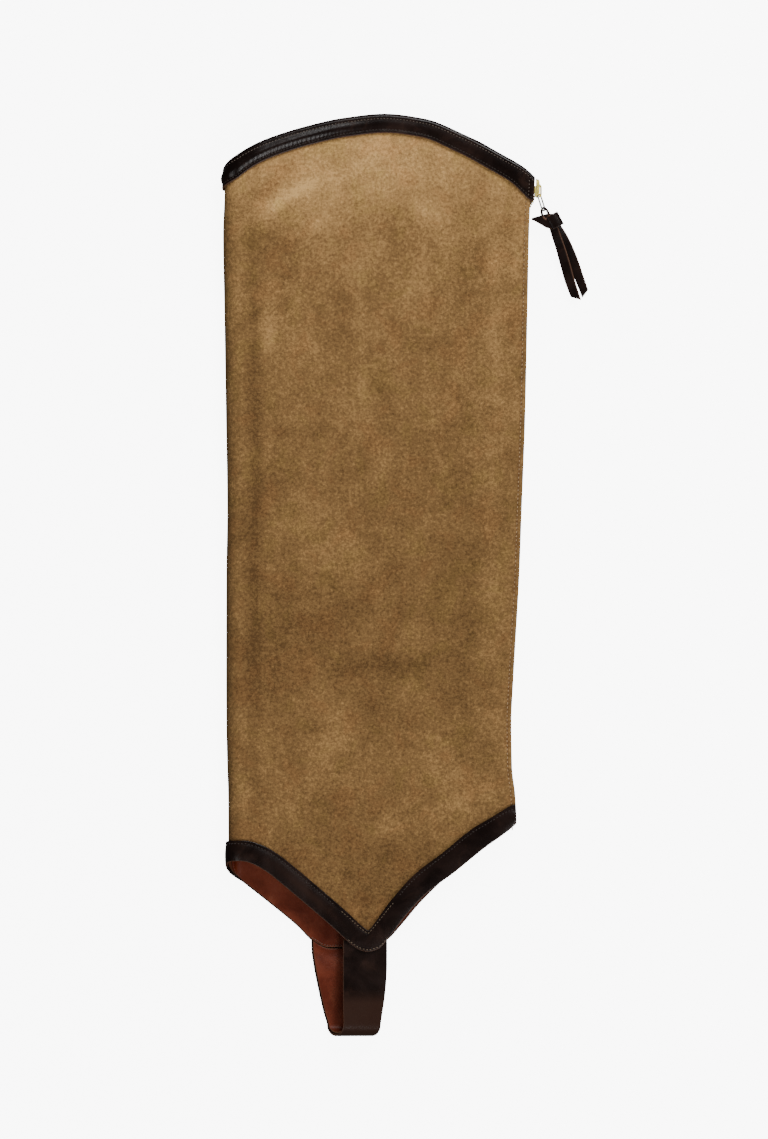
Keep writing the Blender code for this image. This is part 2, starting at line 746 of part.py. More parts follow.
def knot_body(up):
    """The thong's flat knot: a filled outline with rounded rims."""
    outline = bpy.data.curves.new("pull_thong", "CURVE")
    outline.dimensions = "2D"
    outline.fill_mode = "BOTH"
    outline.extrude = KNOT_HALF * MM
    outline.bevel_depth = KNOT_ROUND * MM
    outline.bevel_resolution = 1
    outline.offset = -KNOT_ROUND * MM
    spline = outline.splines.new("POLY")
    spline.points.add(len(KNOT_OUTLINE) - 1)
    for point, (across, height) in zip(spline.points, KNOT_OUTLINE):
        point.co = (across * MM, height * MM, 0.0, 1.0)
    spline.use_cyclic_u = True
    outline.materials.append(material("dark_leather"))
    knot = bpy.data.objects.new("pull_thong", outline)
    knot.location.z = up * MM
    gaiter.objects.link(knot)
    knot.parent = origin
    return as_mesh(knot)


def pull():
    """The link and thong, which turn together about the link's end in the bail."""
    up = float(zip_middle(LINK_PLACE[1]))
    turned = Matrix.Rotation(LINK_AIM, 3, "Z")
    place = Vector((*LINK_PLACE, up))
    half = LINK_WIDTH / 2
    near = [(LINK_END * (1 + sin(turn)), half * cos(turn)) for turn in np.linspace(-pi, 0.0, 9)]
    far = [(LINK_LENGTH - along, -rise) for along, rise in near]
    ring = [place + turned @ Vector((along, 0.0, rise)) for along, rise in near + far]
    link = wire("pull_link", ring, LINK_WIRE, "pull_plate", closed=True)

    end = place + turned @ Vector((LINK_LENGTH, 0.0, 0.0))
    knot = knot_body(up)
    eye = cylinder("thong_eye", end, EYE_RADIUS, EYE_DEPTH)
    low, high = (-EYE_RADIUS, -NECK_LENGTH, -EYE_DEPTH / 2), (EYE_RADIUS, 0.0, EYE_DEPTH / 2)
    neck = box("thong_neck", low, high, "dark_leather")
    neck.location = end * MM
    neck.rotation_euler.z = LINK_AIM + pi / 2
    left = sheet("left_tail", strip_grid(LEFT_TAIL), TAIL_THICKNESS, "dark_leather")
    right = sheet("right_tail", strip_grid(RIGHT_TAIL), TAIL_THICKNESS, "dark_leather")
    join(knot, [eye, neck, left, right])
    hole = cylinder("thong_hole", end, EYE_HOLE, EYE_DEPTH + CUTTER_EXTRA)
    join(knot, [hole], "DIFFERENCE")

    hinge = bpy.data.objects.new("pull_hinge", None)
    hinge.location = place * MM
    hinge.parent = origin
    gaiter.objects.link(hinge)
    for piece in (link, knot, eye, neck, left, right, hole):
        piece.parent = hinge
        piece.matrix_parent_inverse = Matrix.Translation(-place * MM)


def centre_on_origin():
    """Moves the whole gaiter so that its box is centred on the Z axis and stands on z = 0."""
    bpy.context.view_layer.update()
    graph = bpy.context.evaluated_depsgraph_get()
    places = []
    for piece in gaiter.objects:
        if piece.type == "EMPTY":
            continue
        shown = piece.evaluated_get(graph)
        mesh = shown.to_mesh()
        places += [shown.matrix_world @ vertex.co for vertex in mesh.vertices]
        shown.to_mesh_clear()
    low = np.min(places, axis=0)
    high = np.max(places, axis=0)
    origin.location = (-(low[0] + high[0]) / 2, -(low[1] + high[1]) / 2, -low[2])


def build():
    suede_wrap()
    top_band()
    hem_band()
    hem_facing()
    strap()
    zip_parts()
    zip_slider()
    pull()
    centre_on_origin()


clear_scene()
gaiter = bpy.data.collections.new("leather_gaiter")
bpy.context.scene.collection.children.link(gaiter)
helpers = bpy.data.collections.new("helpers")
bpy.context.scene.collection.children.link(helpers)
origin = bpy.data.objects.new("origin", None)
gaiter.objects.link(origin)
build()
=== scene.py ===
# %% [markdown]
# # A leather gaiter, laid flat
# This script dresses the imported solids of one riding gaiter. It is lying on a table and is seen from straight above.
# The leg is one piece of tan suede folded down the left side, with a zip where its two long edges meet on the right.
# A dark leather strip binds the curved top, another runs round the pointed hem, and a strap goes under the foot.
# Each piece is worked out as a surface over a grid with numpy, in millimetres, and moved to its place in metres.

from math import pi

import bpy
import numpy as np
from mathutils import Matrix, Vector


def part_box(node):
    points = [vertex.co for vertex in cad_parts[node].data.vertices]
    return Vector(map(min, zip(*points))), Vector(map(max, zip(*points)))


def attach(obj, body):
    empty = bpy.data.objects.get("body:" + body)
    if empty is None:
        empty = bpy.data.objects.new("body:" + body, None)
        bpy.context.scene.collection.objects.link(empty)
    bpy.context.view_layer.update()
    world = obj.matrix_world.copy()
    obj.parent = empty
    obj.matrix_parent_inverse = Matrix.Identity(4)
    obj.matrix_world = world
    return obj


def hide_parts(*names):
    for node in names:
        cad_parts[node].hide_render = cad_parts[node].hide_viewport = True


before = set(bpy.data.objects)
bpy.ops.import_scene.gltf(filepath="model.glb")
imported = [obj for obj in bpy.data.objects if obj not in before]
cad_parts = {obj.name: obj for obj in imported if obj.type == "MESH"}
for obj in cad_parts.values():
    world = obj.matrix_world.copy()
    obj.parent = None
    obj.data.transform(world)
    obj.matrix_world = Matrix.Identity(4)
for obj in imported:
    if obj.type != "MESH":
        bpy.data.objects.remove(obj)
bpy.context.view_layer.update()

# %% [markdown]
# ## The camera
# The photo looks straight down and shows no perspective, so a long lens far above the table matches it. The photo's
# frame is 768 by 1139 pixels at 0.55 mm a pixel, and the gaiter sits a little to the right of its middle. We could
# tilt or shift the lens to frame it, but moving the camera sideways gives the same picture with nothing to undo.

# %% Camera
PIXEL = 0.00055
PHOTO_WIDTH, PHOTO_HEIGHT = 768, 1139
OBJECT_CENTRE_IN_PHOTO = (406.0, 575.0)
CAMERA_HEIGHT = 12.0

camera_data = bpy.data.cameras.new("camera")
camera_data.sensor_width = 36.0
camera_data.lens = camera_data.sensor_width * CAMERA_HEIGHT / (PHOTO_HEIGHT * PIXEL)
camera = bpy.data.objects.new("camera", camera_data)
camera.location = (
    -(OBJECT_CENTRE_IN_PHOTO[0] - PHOTO_WIDTH / 2) * PIXEL,
    (OBJECT_CENTRE_IN_PHOTO[1] - PHOTO_HEIGHT / 2) * PIXEL,
    CAMERA_HEIGHT,
)
bpy.context.scene.collection.objects.link(camera)
bpy.context.scene.camera = camera
print("lens in mm:", round(camera_data.lens, 1))

# %% [markdown]
# ## The table and the light
# The photo has a plain white ground and soft light with no cast shadows. A big lamp at the upper right lights the nap
# from the side. A softer one at the lower right draws the streaks on the bands, and a weak one at the lower left
# reaches into the open hem. The floor glows white, but it doesn't light the piece: a lit floor bright enough to look
# white would wash out the dark leather. A single hard lamp would throw shadows that the photo doesn't have.

# %% Floor and lamps
FLOOR_SIZE = 6.0
FLOOR_COLOUR = (0.88, 0.88, 0.88, 1.0)
FLOOR_GLOW = 8.0
FLOOR_DROP = 0.0002
SKY_STRENGTH = 0.08

floor_mesh = bpy.data.meshes.new("floor")
half_floor = FLOOR_SIZE / 2
floor_corners = [(-half_floor, -half_floor, 0), (half_floor, -half_floor, 0), (half_floor, half_floor, 0)]
floor_mesh.from_pydata([*floor_corners, (-half_floor, half_floor, 0)], [], [(0, 1, 2, 3)])
floor = bpy.data.objects.new("floor", floor_mesh)
floor.location.z = -FLOOR_DROP
bpy.context.scene.collection.objects.link(floor)
floor_finish = bpy.data.materials.new("floor")
floor_finish.use_nodes = True
floor_shader = floor_finish.node_tree.nodes["Principled BSDF"]
floor_shader.inputs["Base Color"].default_value = FLOOR_COLOUR
floor_shader.inputs["Roughness"].default_value = 0.9
floor_shader.inputs["Emission Color"].default_value = (1.0, 1.0, 1.0, 1.0)
floor_shader.inputs["Emission Strength"].default_value = FLOOR_GLOW
floor_mesh.materials.append(floor_finish)
floor.visible_diffuse = False
floor.visible_glossy = False

LAMPS = [
    # name, place in metres, size across, power in watts
    ("back_lamp", (0.6, 1.6, 1.5), 1.2, 42.0),
    ("front_lamp", (0.88, -1.26, 1.5), 0.9, 22.0),
    ("side_lamp", (-1.1, -1.2, 1.7), 0.9, 9.0),
]
for lamp_name, place, size, power in LAMPS:
    lamp_data = bpy.data.lights.new(lamp_name, "AREA")
    lamp_data.shape = "DISK"
    lamp_data.size = size
    lamp_data.energy = power
    lamp = bpy.data.objects.new(lamp_name, lamp_data)
    lamp.location = place
    lamp.rotation_mode = "QUATERNION"
    lamp.rotation_quaternion = (-Vector(place)).to_track_quat("-Z", "Y")
    bpy.context.scene.collection.objects.link(lamp)

sky = bpy.data.worlds.new("sky")
bpy.context.scene.world = sky
sky.use_nodes = True
sky_light = sky.node_tree.nodes["Background"]
sky_light.inputs["Color"].default_value = (1.0, 1.0, 1.0, 1.0)
sky_light.inputs["Strength"].default_value = SKY_STRENGTH
print("lamps:", [lamp[0] for lamp in LAMPS])

# %% [markdown]
# ## Measures of the leg
# A place on the leather has two coordinates. One is its height up the leg. The other is its girth: the way round the
# leg from the fold's crest, plus on the upper layer and minus on the lower one. The outlines of the top and the hem
# are curves of height over girth, as on a maker's pattern. We could model the flat shape seen from above instead, but
# then the hidden layer and the fold would have to be guessed. The tables are in millimetres.

# %% Tables of the leg's form
MM = 0.001
GAP = 0.3
SUEDE = 1.8
TOP_BINDING = 1.1
HEM_BANDING = 1.2
FACING = 1.0
TAPE = 0.6
TOP_BAND_WIDTH = 10.6
HEM_BAND_WIDTH = 11.4
FOLD_REACH = 7.0
FOLD_HALF_GIRTH = 10.3
LAYER_WIDTH = 158.0
HEM_START, TIP_START, TOP_START = 90.0, 60.0, 480.0

TOP_LINE = {
    "girth": [-180, -166, -135, -112, -90, -60, -30, -14, -6, 0, 5.5, 13, 24, 46, 68, 90, 112, 134, 156, 167, 176],
    "height": [466, 476.5, 495, 500, 498.5, 491.5, 480.5, 475, 474.8, 477.5, 482, 487.3, 492.8, 500, 504.9, 507.1,
               504.4, 495.6, 484, 477.4, 469],
}
HEM_LINE = {
    "girth": [-166, -160, -145, -124.5, -107.5, -98, -89, -78, -66, -57, -48.6, -40.4, -26.6, -12.3, -5.2, 0, 5.2,
              10.1, 16.2, 22.8, 31, 40.4, 59.6, 70.1, 74.5, 79, 85, 89.6, 99.4, 112, 126.7, 144, 153.1, 159.4, 163],
    "height": [124, 116, 105.2, 89.3, 72.9, 61.6, 52.3, 48.2, 46.9, 48, 52.3, 60.4, 71.8, 83.1, 88.8, 93.6, 96.2,
               96.3, 94.6, 90.8, 84.4, 76.5, 60, 50.4, 47.6, 46.5, 48.2, 52.8, 65.6, 79, 90, 104, 110.6, 116.1, 124],
}
SIDES = {
    "height": [40, 108, 132, 148, 172, 196, 254, 289, 340, 405, 440, 462, 478, 510],
    "fold": [3.4, 3.4, 3.3, 2.8, 2.3, 2.2, 2.3, 2.8, 2.1, 1.1, 0.5, 1.3, 1.7, 1.7],
    "zip": [163.5, 162.2, 161.2, 159.4, 159.0, 160.1, 163.4, 164.7, 166.6, 168.0, 168.7, 169.6, 170.6, 172.5],
}
HOLLOW = {
    "across": [0, 0.06, 0.16, 0.30, 0.45, 0.62, 0.76, 0.88, 0.95, 1],
    "gap": [9.4, 9.5, 7.9, 4.4, 2.5, 2.1, 3.4, 6.9, 8.5, 8.2],
}
# Wide shallow folds of the upper layer: across (0 fold to 1 zip), height, depth, half width, half length.
DENTS = [
    (0.10, 300, -0.7, 0.035, 150), (0.50, 395, 0.9, 0.10, 60), (0.34, 200, -0.9, 0.26, 10),
    (0.66, 300, 0.9, 0.14, 55), (0.40, 250, 1.0, 0.15, 42), (0.80, 190, -0.8, 0.09, 60),
    (0.25, 440, 0.8, 0.16, 22), (0.74, 430, -0.7, 0.12, 34), (0.62, 150, 0.8, 0.12, 26),
]
EDGE_HOLLOW = 2.6
HEM_HOLLOW_REACH = (105.0, 185.0)
TOP_HOLLOW_REACH = (425.0, 480.0)
EDGE_HOLLOW_FADE = (2.4, 9.4)
BAND_STEP = HEM_BANDING + GAP
HEM_BAND_RISE = 19.7
TOP_BAND_DROP = 14.6
LIFT_REACH = 34.0
TABLE_PRESS = 0.4
SLIDER_CORNER = (168.9, 460.8)

slider_low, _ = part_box("zip_slider")
SHIFT = np.array([slider_low.x - SLIDER_CORNER[0] * MM, slider_low.y - SLIDER_CORNER[1] * MM, 0.0])
print("the pattern's corner in metres:", SHIFT.round(4))


# %% Curves and steps
def smooth_curve(x, y, at):
    """Cubic pieces through the points, each slope the harmonic mean of its two neighbours or flat at a turn."""
    x, y = np.asarray(x, float), np.asarray(y, float)
    at = np.clip(np.asarray(at, float), x[0], x[-1])
    steps = np.diff(x)
    rises = np.diff(y) / steps
    same_way = rises[:-1] * rises[1:] > 0
    product = np.where(same_way, rises[:-1] * rises[1:], 0.0)
    total = np.where(same_way, rises[:-1] + rises[1:], 1.0)
    slopes = np.concatenate([rises[:1], 2 * product / total, rises[-1:]])
    piece = np.clip(np.searchsorted(x, at, side="right") - 1, 0, len(x) - 2)
    t = (at - x[piece]) / steps[piece]
    near = (1 + 2 * t) * (1 - t) ** 2 * y[piece] + t * (1 - t) ** 2 * steps[piece] * slopes[piece]
    far = t**2 * (3 - 2 * t) * y[piece + 1] - t**2 * (1 - t) * steps[piece] * slopes[piece + 1]
    return near + far


def ease(low, high, value):
    """0 up to low, 1 from high on, and 3t^2 - 2t^3 between them."""
    t = np.clip((value - low) / (high - low), 0.0, 1.0)
    return t * t * (3 - 2 * t)


def bell(value, half_width):
    """exp(-(value / half_width)^2): 1 in the middle, soft to 0 on both sides."""
    return np.exp(-((value / half_width) ** 2))


def unit(vectors):
    """Each vector divided by its length."""
    return vectors / np.linalg.norm(vectors, axis=-1, keepdims=True)


def points_at(x, y, z):
    """Points from their three coordinates, each an array or one number for all."""
    return np.stack(np.broadcast_arrays(x, y, z), axis=-1)


def way_along(line):
    """The way from a line's first point to each of its points: sums of the steps' lengths."""
    return np.concatenate([[0.0], np.cumsum(np.linalg.norm(np.diff(line, axis=0), axis=1))])


print("half way up a step:", float(ease(0.0, 1.0, 0.5)))


# %% From girth and height to a point in space
def fold_shoulder(height):
    """Where the upper layer starts to turn down into the fold."""
    return smooth_curve(SIDES["height"], SIDES["fold"], height) + SUEDE / 2 + FOLD_REACH


def zip_edge(height):
    """Where the leather ends at the zip."""
    return smooth_curve(SIDES["height"], SIDES["zip"], height)


def flat_width(height):
    """How wide each layer lies, from the fold's shoulder to the zip."""
    return zip_edge(height) - fold_shoulder(height)


def across_share(s):
    """How far across its layer a column is: 0 from shoulder to shoulder round the fold, 1 at either zip edge."""
    return np.where(s < 1, 1 - s, np.where(s > 2, s - 2, 0.0))


def girth_of(s, height):
    """Share s runs 0, 1, 2, 3 over upper zip edge, front shoulder, back shoulder, lower zip edge: girth in mm."""
    flat = flat_width(height)
    on_fold = FOLD_HALF_GIRTH * (3 - 2 * s)
    upper = FOLD_HALF_GIRTH + (1 - s) * flat
    return np.where(s < 1, upper, np.where(s > 2, -FOLD_HALF_GIRTH - (s - 2) * flat, on_fold))


def share_of(girth, height):
    """The share s of a girth, the other way round from girth_of."""
    girth = np.asarray(girth, float)
    flat = flat_width(height)
    upper = 1 - (girth - FOLD_HALF_GIRTH) / flat
    lower = 2 + (-girth - FOLD_HALF_GIRTH) / flat
    on_fold = 1.5 - girth / FOLD_HALF_GIRTH / 2
    return np.where(girth > FOLD_HALF_GIRTH, upper, np.where(girth < -FOLD_HALF_GIRTH, lower, on_fold))


def on_line(line, girth):
    """An outline's height at a girth."""
    return smooth_curve(line["girth"], line["height"], girth)


def line_height(line, s, start):
    """The height at which an outline crosses column s: start, look up the girth there, and go round four times."""
    height = np.full_like(s, start)
    for _ in range(4):
        height = on_line(line, girth_of(s, height))
    return height


def band_line_height(line, s, start, width, side):
    """The furthest height that a disc of this radius reaches when it rolls along the outline, above or below it."""
    girth = girth_of(s, np.full_like(s, start))
    reach = np.linspace(-width, width, 121)
    edge = on_line(line, girth[:, None] + reach[None, :])
    return side * (side * edge + np.sqrt(width**2 - reach**2)[None, :]).max(axis=1)


def layer_lift(across, height):
    """The lower layer rides over the bands under it: BAND_STEP near the hem and the top, 0 in the middle."""
    girth = -(across - fold_shoulder(height)) - FOLD_HALF_GIRTH
    hem, top = on_line(HEM_LINE, girth), on_line(TOP_LINE, girth)
    near_hem = 1 - ease(hem + HEM_BAND_RISE, hem + HEM_BAND_RISE + LIFT_REACH, height)
    near_top = ease(top - TOP_BAND_DROP - LIFT_REACH, top - TOP_BAND_DROP, height)
    return BAND_STEP * np.maximum(near_hem, near_top)


def hollow(share, height):
    """The gap between the layers: a curve across, plus a bell-shaped dent or swelling for each row of DENTS."""
    gap = smooth_curve(HOLLOW["across"], HOLLOW["gap"], share)
    near_ends = 1 - ease(*HEM_HOLLOW_REACH, height) + ease(*TOP_HOLLOW_REACH, height)
    gap = gap + EDGE_HOLLOW * near_ends * (1 - ease(*EDGE_HOLLOW_FADE, gap))
    for across, up, depth, half_width, half_length in DENTS:
        x, y = (share - across) / half_width, (height - up) / half_length
        gap = gap + depth * np.exp(-(x**2) - y**2)
    return gap


def wrap_point(s, height):
    """The middle of the suede: two layers a hollow apart, joined at the fold by a half turn of an ellipse."""
    s, height = np.broadcast_arrays(np.asarray(s, float), np.asarray(height, float))
    share = across_share(s)
    across = fold_shoulder(height) + share * flat_width(height)
    low = SUEDE / 2 + layer_lift(across, height)
    high = low + SUEDE + hollow(np.clip(share, 0, 1), height)
    turn = np.clip(s - 1, 0, 1) * pi
    on_fold = (high + low) / 2 + (high - low) / 2 * np.cos(turn)
    up = np.where(s < 1, high, np.where(s > 2, low, on_fold))
    return points_at(across - FOLD_REACH * np.sin(turn), height, up)


def wrap_normal(s, height):
    """The direction out of the gaiter: small steps along height and along s, crossed."""
    along_s = wrap_point(s + 1e-3, height) - wrap_point(s - 1e-3, height)
    along_height = wrap_point(s, height + 0.05) - wrap_point(s, height - 0.05)
    return unit(np.cross(along_height, along_s))


def on_wrap(s, height, out):
    """A point this far out of the suede's middle. Below TABLE_PRESS, up becomes press * e^(up / press - 1), over 0."""
    s, height, out = np.broadcast_arrays(np.asarray(s, float), np.asarray(height, float), np.asarray(out, float))
    point = wrap_point(s, height) + wrap_normal(s, height) * out[..., None]
    up = point[..., 2]
    point[..., 2] = np.where(up < TABLE_PRESS, TABLE_PRESS * np.exp(np.minimum(up / TABLE_PRESS - 1, 0)), up)
    return point


print("the middle of the upper layer, half way up, in mm:", wrap_point(0.5, 300.0).round(1))

# %% [markdown]
# ## Turning grids into walls
# Every leather piece here is a wall: an outer face, an inner face and a rim that joins them. The Solidify modifier
# makes such a wall from one open grid, but then the rim is square and both faces have to match. Here each wall gets
# two grids instead, and close rows near its rim carry a small rounding, because cut leather has soft corners that
# catch the light. Each wall keeps its place on the pattern as a UV map in metres, and how near a point is to the rim
# as an attribute, for the finishes to read.


# %% Wall builder
def set_up_mesh(name, points, quads, uv, attributes):
    """A mesh object from arrays: points in pattern millimetres, four-cornered cells, UV in millimetres."""
    mesh = bpy.data.meshes.new(name)
    mesh.vertices.add(len(points))
    mesh.vertices.foreach_set("co", (points * MM + SHIFT).astype(np.float32).ravel())
    mesh.loops.add(quads.size)
    mesh.polygons.add(len(quads))
    mesh.loops.foreach_set("vertex_index", quads.astype(np.int32).ravel())
    mesh.polygons.foreach_set("loop_start", np.arange(0, quads.size, 4, dtype=np.int32))
    mesh.polygons.foreach_set("loop_total", np.full(len(quads), 4, dtype=np.int32))
    mesh.update(calc_edges=True)
    if uv is not None:
        layer = mesh.uv_layers.new(name="pattern")
        layer.data.foreach_set("uv", (uv * MM)[quads.ravel()].astype(np.float32).ravel())
    for attribute_name, values in attributes.items():
        attribute = mesh.attributes.new(attribute_name, "FLOAT", "POINT")
        attribute.data.foreach_set("value", np.asarray(values, np.float32).ravel())
    mesh.shade_smooth()
    made = bpy.data.objects.new(name, mesh)
    bpy.context.scene.collection.objects.link(made)
    return made


def grid_cells(rows, columns, start=0):
    """The cells of a grid of points, numbered row by row from start, as four corner numbers each."""
    r, c = np.meshgrid(np.arange(rows - 1), np.arange(columns - 1), indexing="ij")
    first = start + r * columns + c
    return np.stack([first, first + columns, first + columns + 1, first + 1], axis=-1).reshape(-1, 4)


def wall(name, outer, inner, uv, **attributes):
    """Two grids of the same shape and a ring of cells round their rims. Cross(rows, columns) points out."""
    rows, columns = outer.shape[:2]
    count = rows * columns
    ids = np.arange(count).reshape(rows, columns)
    cells = [grid_cells(rows, columns), grid_cells(rows, columns, count)[:, ::-1]]
    for a, b in (
        (ids[0, :-1], ids[0, 1:]),
        (ids[-1, 1:], ids[-1, :-1]),
        (ids[1:, 0], ids[:-1, 0]),
        (ids[:-1, -1], ids[1:, -1]),
    ):
        cells.append(np.stack([a, b, b + count, a + count], axis=-1))
    points = np.concatenate([outer.reshape(-1, 3), inner.reshape(-1, 3)])
    both_uv = np.concatenate([uv.reshape(-1, 2)] * 2)
    both = {key: np.tile(np.broadcast_to(value, (rows, columns)).ravel(), 2) for key, value in attributes.items()}
    return set_up_mesh(name, points, np.concatenate(cells), both_uv, both)


def half_wall(distance, thickness, rounding):
    """Half the wall's thickness at a distance from the rim: full inside, a quarter circle down to the rim."""
    t = np.clip(1 - distance / rounding, 0.0, 1.0)
    return thickness / 2 - rounding * (1 - np.sqrt(1 - t**2))


def close_at_ends(length, count):
    """Distances from 0 to length: a few close steps at both ends and even ones between."""
    length = np.asarray(length, float)
    near = np.array([0.0, 0.06, 0.2, 0.4, 0.7])[:, None]
    shares = np.linspace(0.0, 1.0, count)[1:-1, None]
    flat = length.reshape(1, -1)
    middle = near[-1] + shares * (flat - 2 * near[-1])
    return np.concatenate([near + 0 * flat, middle, flat - near[::-1]]).reshape((-1,) + length.shape)


def tube(name, path, radius, closed=False):
    """A round tube: a circle on a plane across the path at each point, with one fixed helper direction."""
    sides = 14
    path = np.asarray(path, float)
    if closed:
        along = unit(np.roll(path, -1, axis=0) - np.roll(path, 1, axis=0))
    else:
        along = unit(np.gradient(path, axis=0))
    helper = np.eye(3)[np.argmin(np.abs(along).sum(axis=0))]
    side = unit(np.cross(along, helper))
    up = np.cross(along, side)
    turn = np.linspace(0, 2 * pi, sides, endpoint=False)
    ring = side[:, None] * np.cos(turn)[None, :, None] + up[:, None] * np.sin(turn)[None, :, None]
    points = path[:, None] + ring * radius
    r, c = np.meshgrid(np.arange(len(path) if closed else len(path) - 1), np.arange(sides), indexing="ij")
    r2, c2 = (r + 1) % len(path), (c + 1) % sides
    cells = np.stack([r * sides + c, r * sides + c2, r2 * sides + c2, r2 * sides + c], axis=-1).reshape(-1, 4)
    points = points.reshape(-1, 3)
    if not closed:
        caps = []
        for first, flip in ((0, 1), ((len(path) - 1) * sides, -1)):
            up_to = first + np.arange(sides // 2 - 1)
            down_to = 2 * first + sides - 1 - up_to
            caps.append(np.stack([up_to, down_to, down_to - 1, up_to + 1], axis=-1)[:, ::flip])
        cells = np.concatenate([cells, *caps])
    return set_up_mesh(name, points, cells, None, {})


def cells_in(*pieces):
    """How many cells these pieces have in all."""
    return sum(len(piece.data.polygons) for piece in pieces)


print("half a wall at its rim and inside, in mm:", half_wall(np.array([0.0, 1.0]), SUEDE, 0.35).round(2))

# %% [markdown]
# ## The suede leg
# The leg is one piece of suede nearly 2 mm thick. Lying folded, it isn't flat: it swells beside the fold and the zip,
# sags in the middle, and keeps the shallow creases of use. A cloth simulation could drape it, but leather this stiff
# holds the creases that it has, and we know from the photo where they run. So each main crease is a soft trough or
# ridge between two named ends, and the hidden layer gets some of its own.

# %% Creases of the suede
ZIP_STITCH_INSET = 2.5
ZIP_GROOVE_DEPTH = 0.22
CREASE_FREE_EDGE = 12.0
# layer (1 upper, -1 lower), across 0 fold to 1 zip and height at both ends, depth in mm (minus a ridge), half width
CREASES = [
    (1, 0.045, 455, 0.050, 215, 0.34, 3.4), (1, 0.060, 225, 0.040, 110, 0.28, 3.8),
    (1, 0.860, 420, 0.845, 250, 0.30, 4.2), (1, 0.885, 262, 0.870, 132, 0.22, 3.4),
    (1, 0.435, 452, 0.460, 352, -0.22, 5.0), (1, 0.340, 214, 0.640, 203, 0.34, 4.2),
    (1, 0.165, 337, 0.300, 333, 0.22, 4.6), (1, 0.100, 452, 0.250, 470, -0.30, 5.2),
    (1, 0.160, 436, 0.330, 459, -0.24, 4.4), (1, 0.560, 463, 0.690, 448, -0.20, 4.0),
    (1, 0.120, 405, 0.170, 372, -0.26, 6.0), (1, 0.780, 318, 0.870, 296, -0.22, 6.5),
    (1, 0.200, 268, 0.330, 176, 0.20, 7.0), (1, 0.520, 118, 0.690, 108, 0.24, 5.0),
    (1, 0.760, 140, 0.880, 126, -0.28, 5.2), (1, 0.430, 150, 0.560, 128, -0.20, 4.6),
    (1, 0.620, 392, 0.740, 362, 0.18, 6.0), (1, 0.080, 150, 0.220, 134, 0.22, 4.4),
    (-1, 0.060, 440, 0.070, 190, 0.30, 4.0), (-1, 0.860, 400, 0.850, 170, 0.28, 4.4),
    (-1, 0.250, 236, 0.560, 221, 0.30, 4.6), (-1, 0.480, 436, 0.500, 330, -0.20, 5.4),
    (-1, 0.140, 372, 0.330, 352, 0.22, 5.0), (-1, 0.600, 300, 0.760, 282, 0.20, 6.2),
    (-1, 0.300, 150, 0.440, 112, 0.20, 5.2), (-1, 0.640, 160, 0.800, 146, 0.24, 5.0),
]


def crease_relief(s, height):
    """Sum over the creases: minus depth times a bell curve of the distance to the crease, fading at its ends."""
    flat = flat_width(height)
    layer = np.where(s < 1.5, 1, -1)
    across = across_share(s) * flat
    relief = np.zeros(np.broadcast(s, height).shape)
    for side, across_1, height_1, across_2, height_2, depth, half_width in CREASES:
        x1, x2 = across_1 * flat, across_2 * flat
        length_2 = (x2 - x1) ** 2 + (height_2 - height_1) ** 2
        t = ((across - x1) * (x2 - x1) + (height - height_1) * (height_2 - height_1)) / length_2
        near = np.clip(t, 0.0, 1.0)
        away = np.hypot(across - x1 - near * (x2 - x1), height - height_1 - near * (height_2 - height_1))
        wander = 1 + 0.35 * np.sin(0.11 * height + 0.07 * across + 9.0 * across_1)
        fade = 0.35 + 0.65 * np.sin(pi * np.clip(near, 0.04, 0.96)) ** 0.7
        relief -= np.where(layer == side, depth * fade * wander * bell(away, half_width), 0.0)
    return relief


def suede_relief(s, height):
    """The creases, and a shallow groove that the stitches pull in along both zip edges."""
    from_zip = np.minimum(s, 3 - s) * flat_width(height)
    groove = ZIP_GROOVE_DEPTH * bell(from_zip - ZIP_STITCH_INSET, 0.8)
    return crease_relief(s, height) * ease(0.0, CREASE_FREE_EDGE, from_zip) - groove


print("creases:", len(CREASES))


# %% Columns for pieces that go round the leg
def columns_round(low, high, upper, fold, lower, tips=True):
    """Shares from low to high: even ones on both layers and the fold, closer ones at the zip ends and hem tips."""
    near_zip = np.array([0, 0.06, 0.2, 0.4, 0.8, 1.3, 1.8, 2.2, 2.6, 3.1, 3.9, 5.0, 6.4]) / LAYER_WIDTH
    parts = [np.linspace(0, 1, upper), np.linspace(1, 2, fold), np.linspace(2, 3, lower)]
    if tips:
        parts += [share_of(np.linspace(66, 92, 27), TIP_START), share_of(-np.linspace(46, 92, 36), TIP_START)]
    every = np.sort(np.concatenate(parts))
    gap = 0.3 * np.median(np.diff(every))
    first, last = low + near_zip, high - near_zip
    every = every[(every > first[-1] + gap) & (every < last[-1] - gap)]
    every = every[np.concatenate([[True], np.diff(every) > gap])]
    return np.concatenate([first, every, last[::-1]])


TIPS_FROM = 40.0


def cut_at_tips(low, s, tip_cut):
    """An edge that stops at the height tip_cut by the hem's two tips, where only the band goes on."""
    by_tips = np.abs(girth_of(s, TIP_START)) > TIPS_FROM
    return np.where(by_tips, np.maximum(low, tip_cut), low)


SUEDE_SETBACK = 1.0
SUEDE_TIP_CUT = 54.0
leg_s = columns_round(0.0, 3.0, 84, 26, 64)
leg_hem = line_height(HEM_LINE, leg_s, HEM_START)
leg_slant = np.gradient(leg_hem, girth_of(leg_s, HEM_START))
leg_low = cut_at_tips(leg_hem + SUEDE_SETBACK * np.hypot(1, leg_slant), leg_s, SUEDE_TIP_CUT)
leg_high = line_height(TOP_LINE, leg_s, TOP_START) - TOP_BINDING - 3 * GAP
print("suede columns:", len(leg_s), "lowest and highest edge:", leg_low.min().round(1), leg_high.max().round(1))

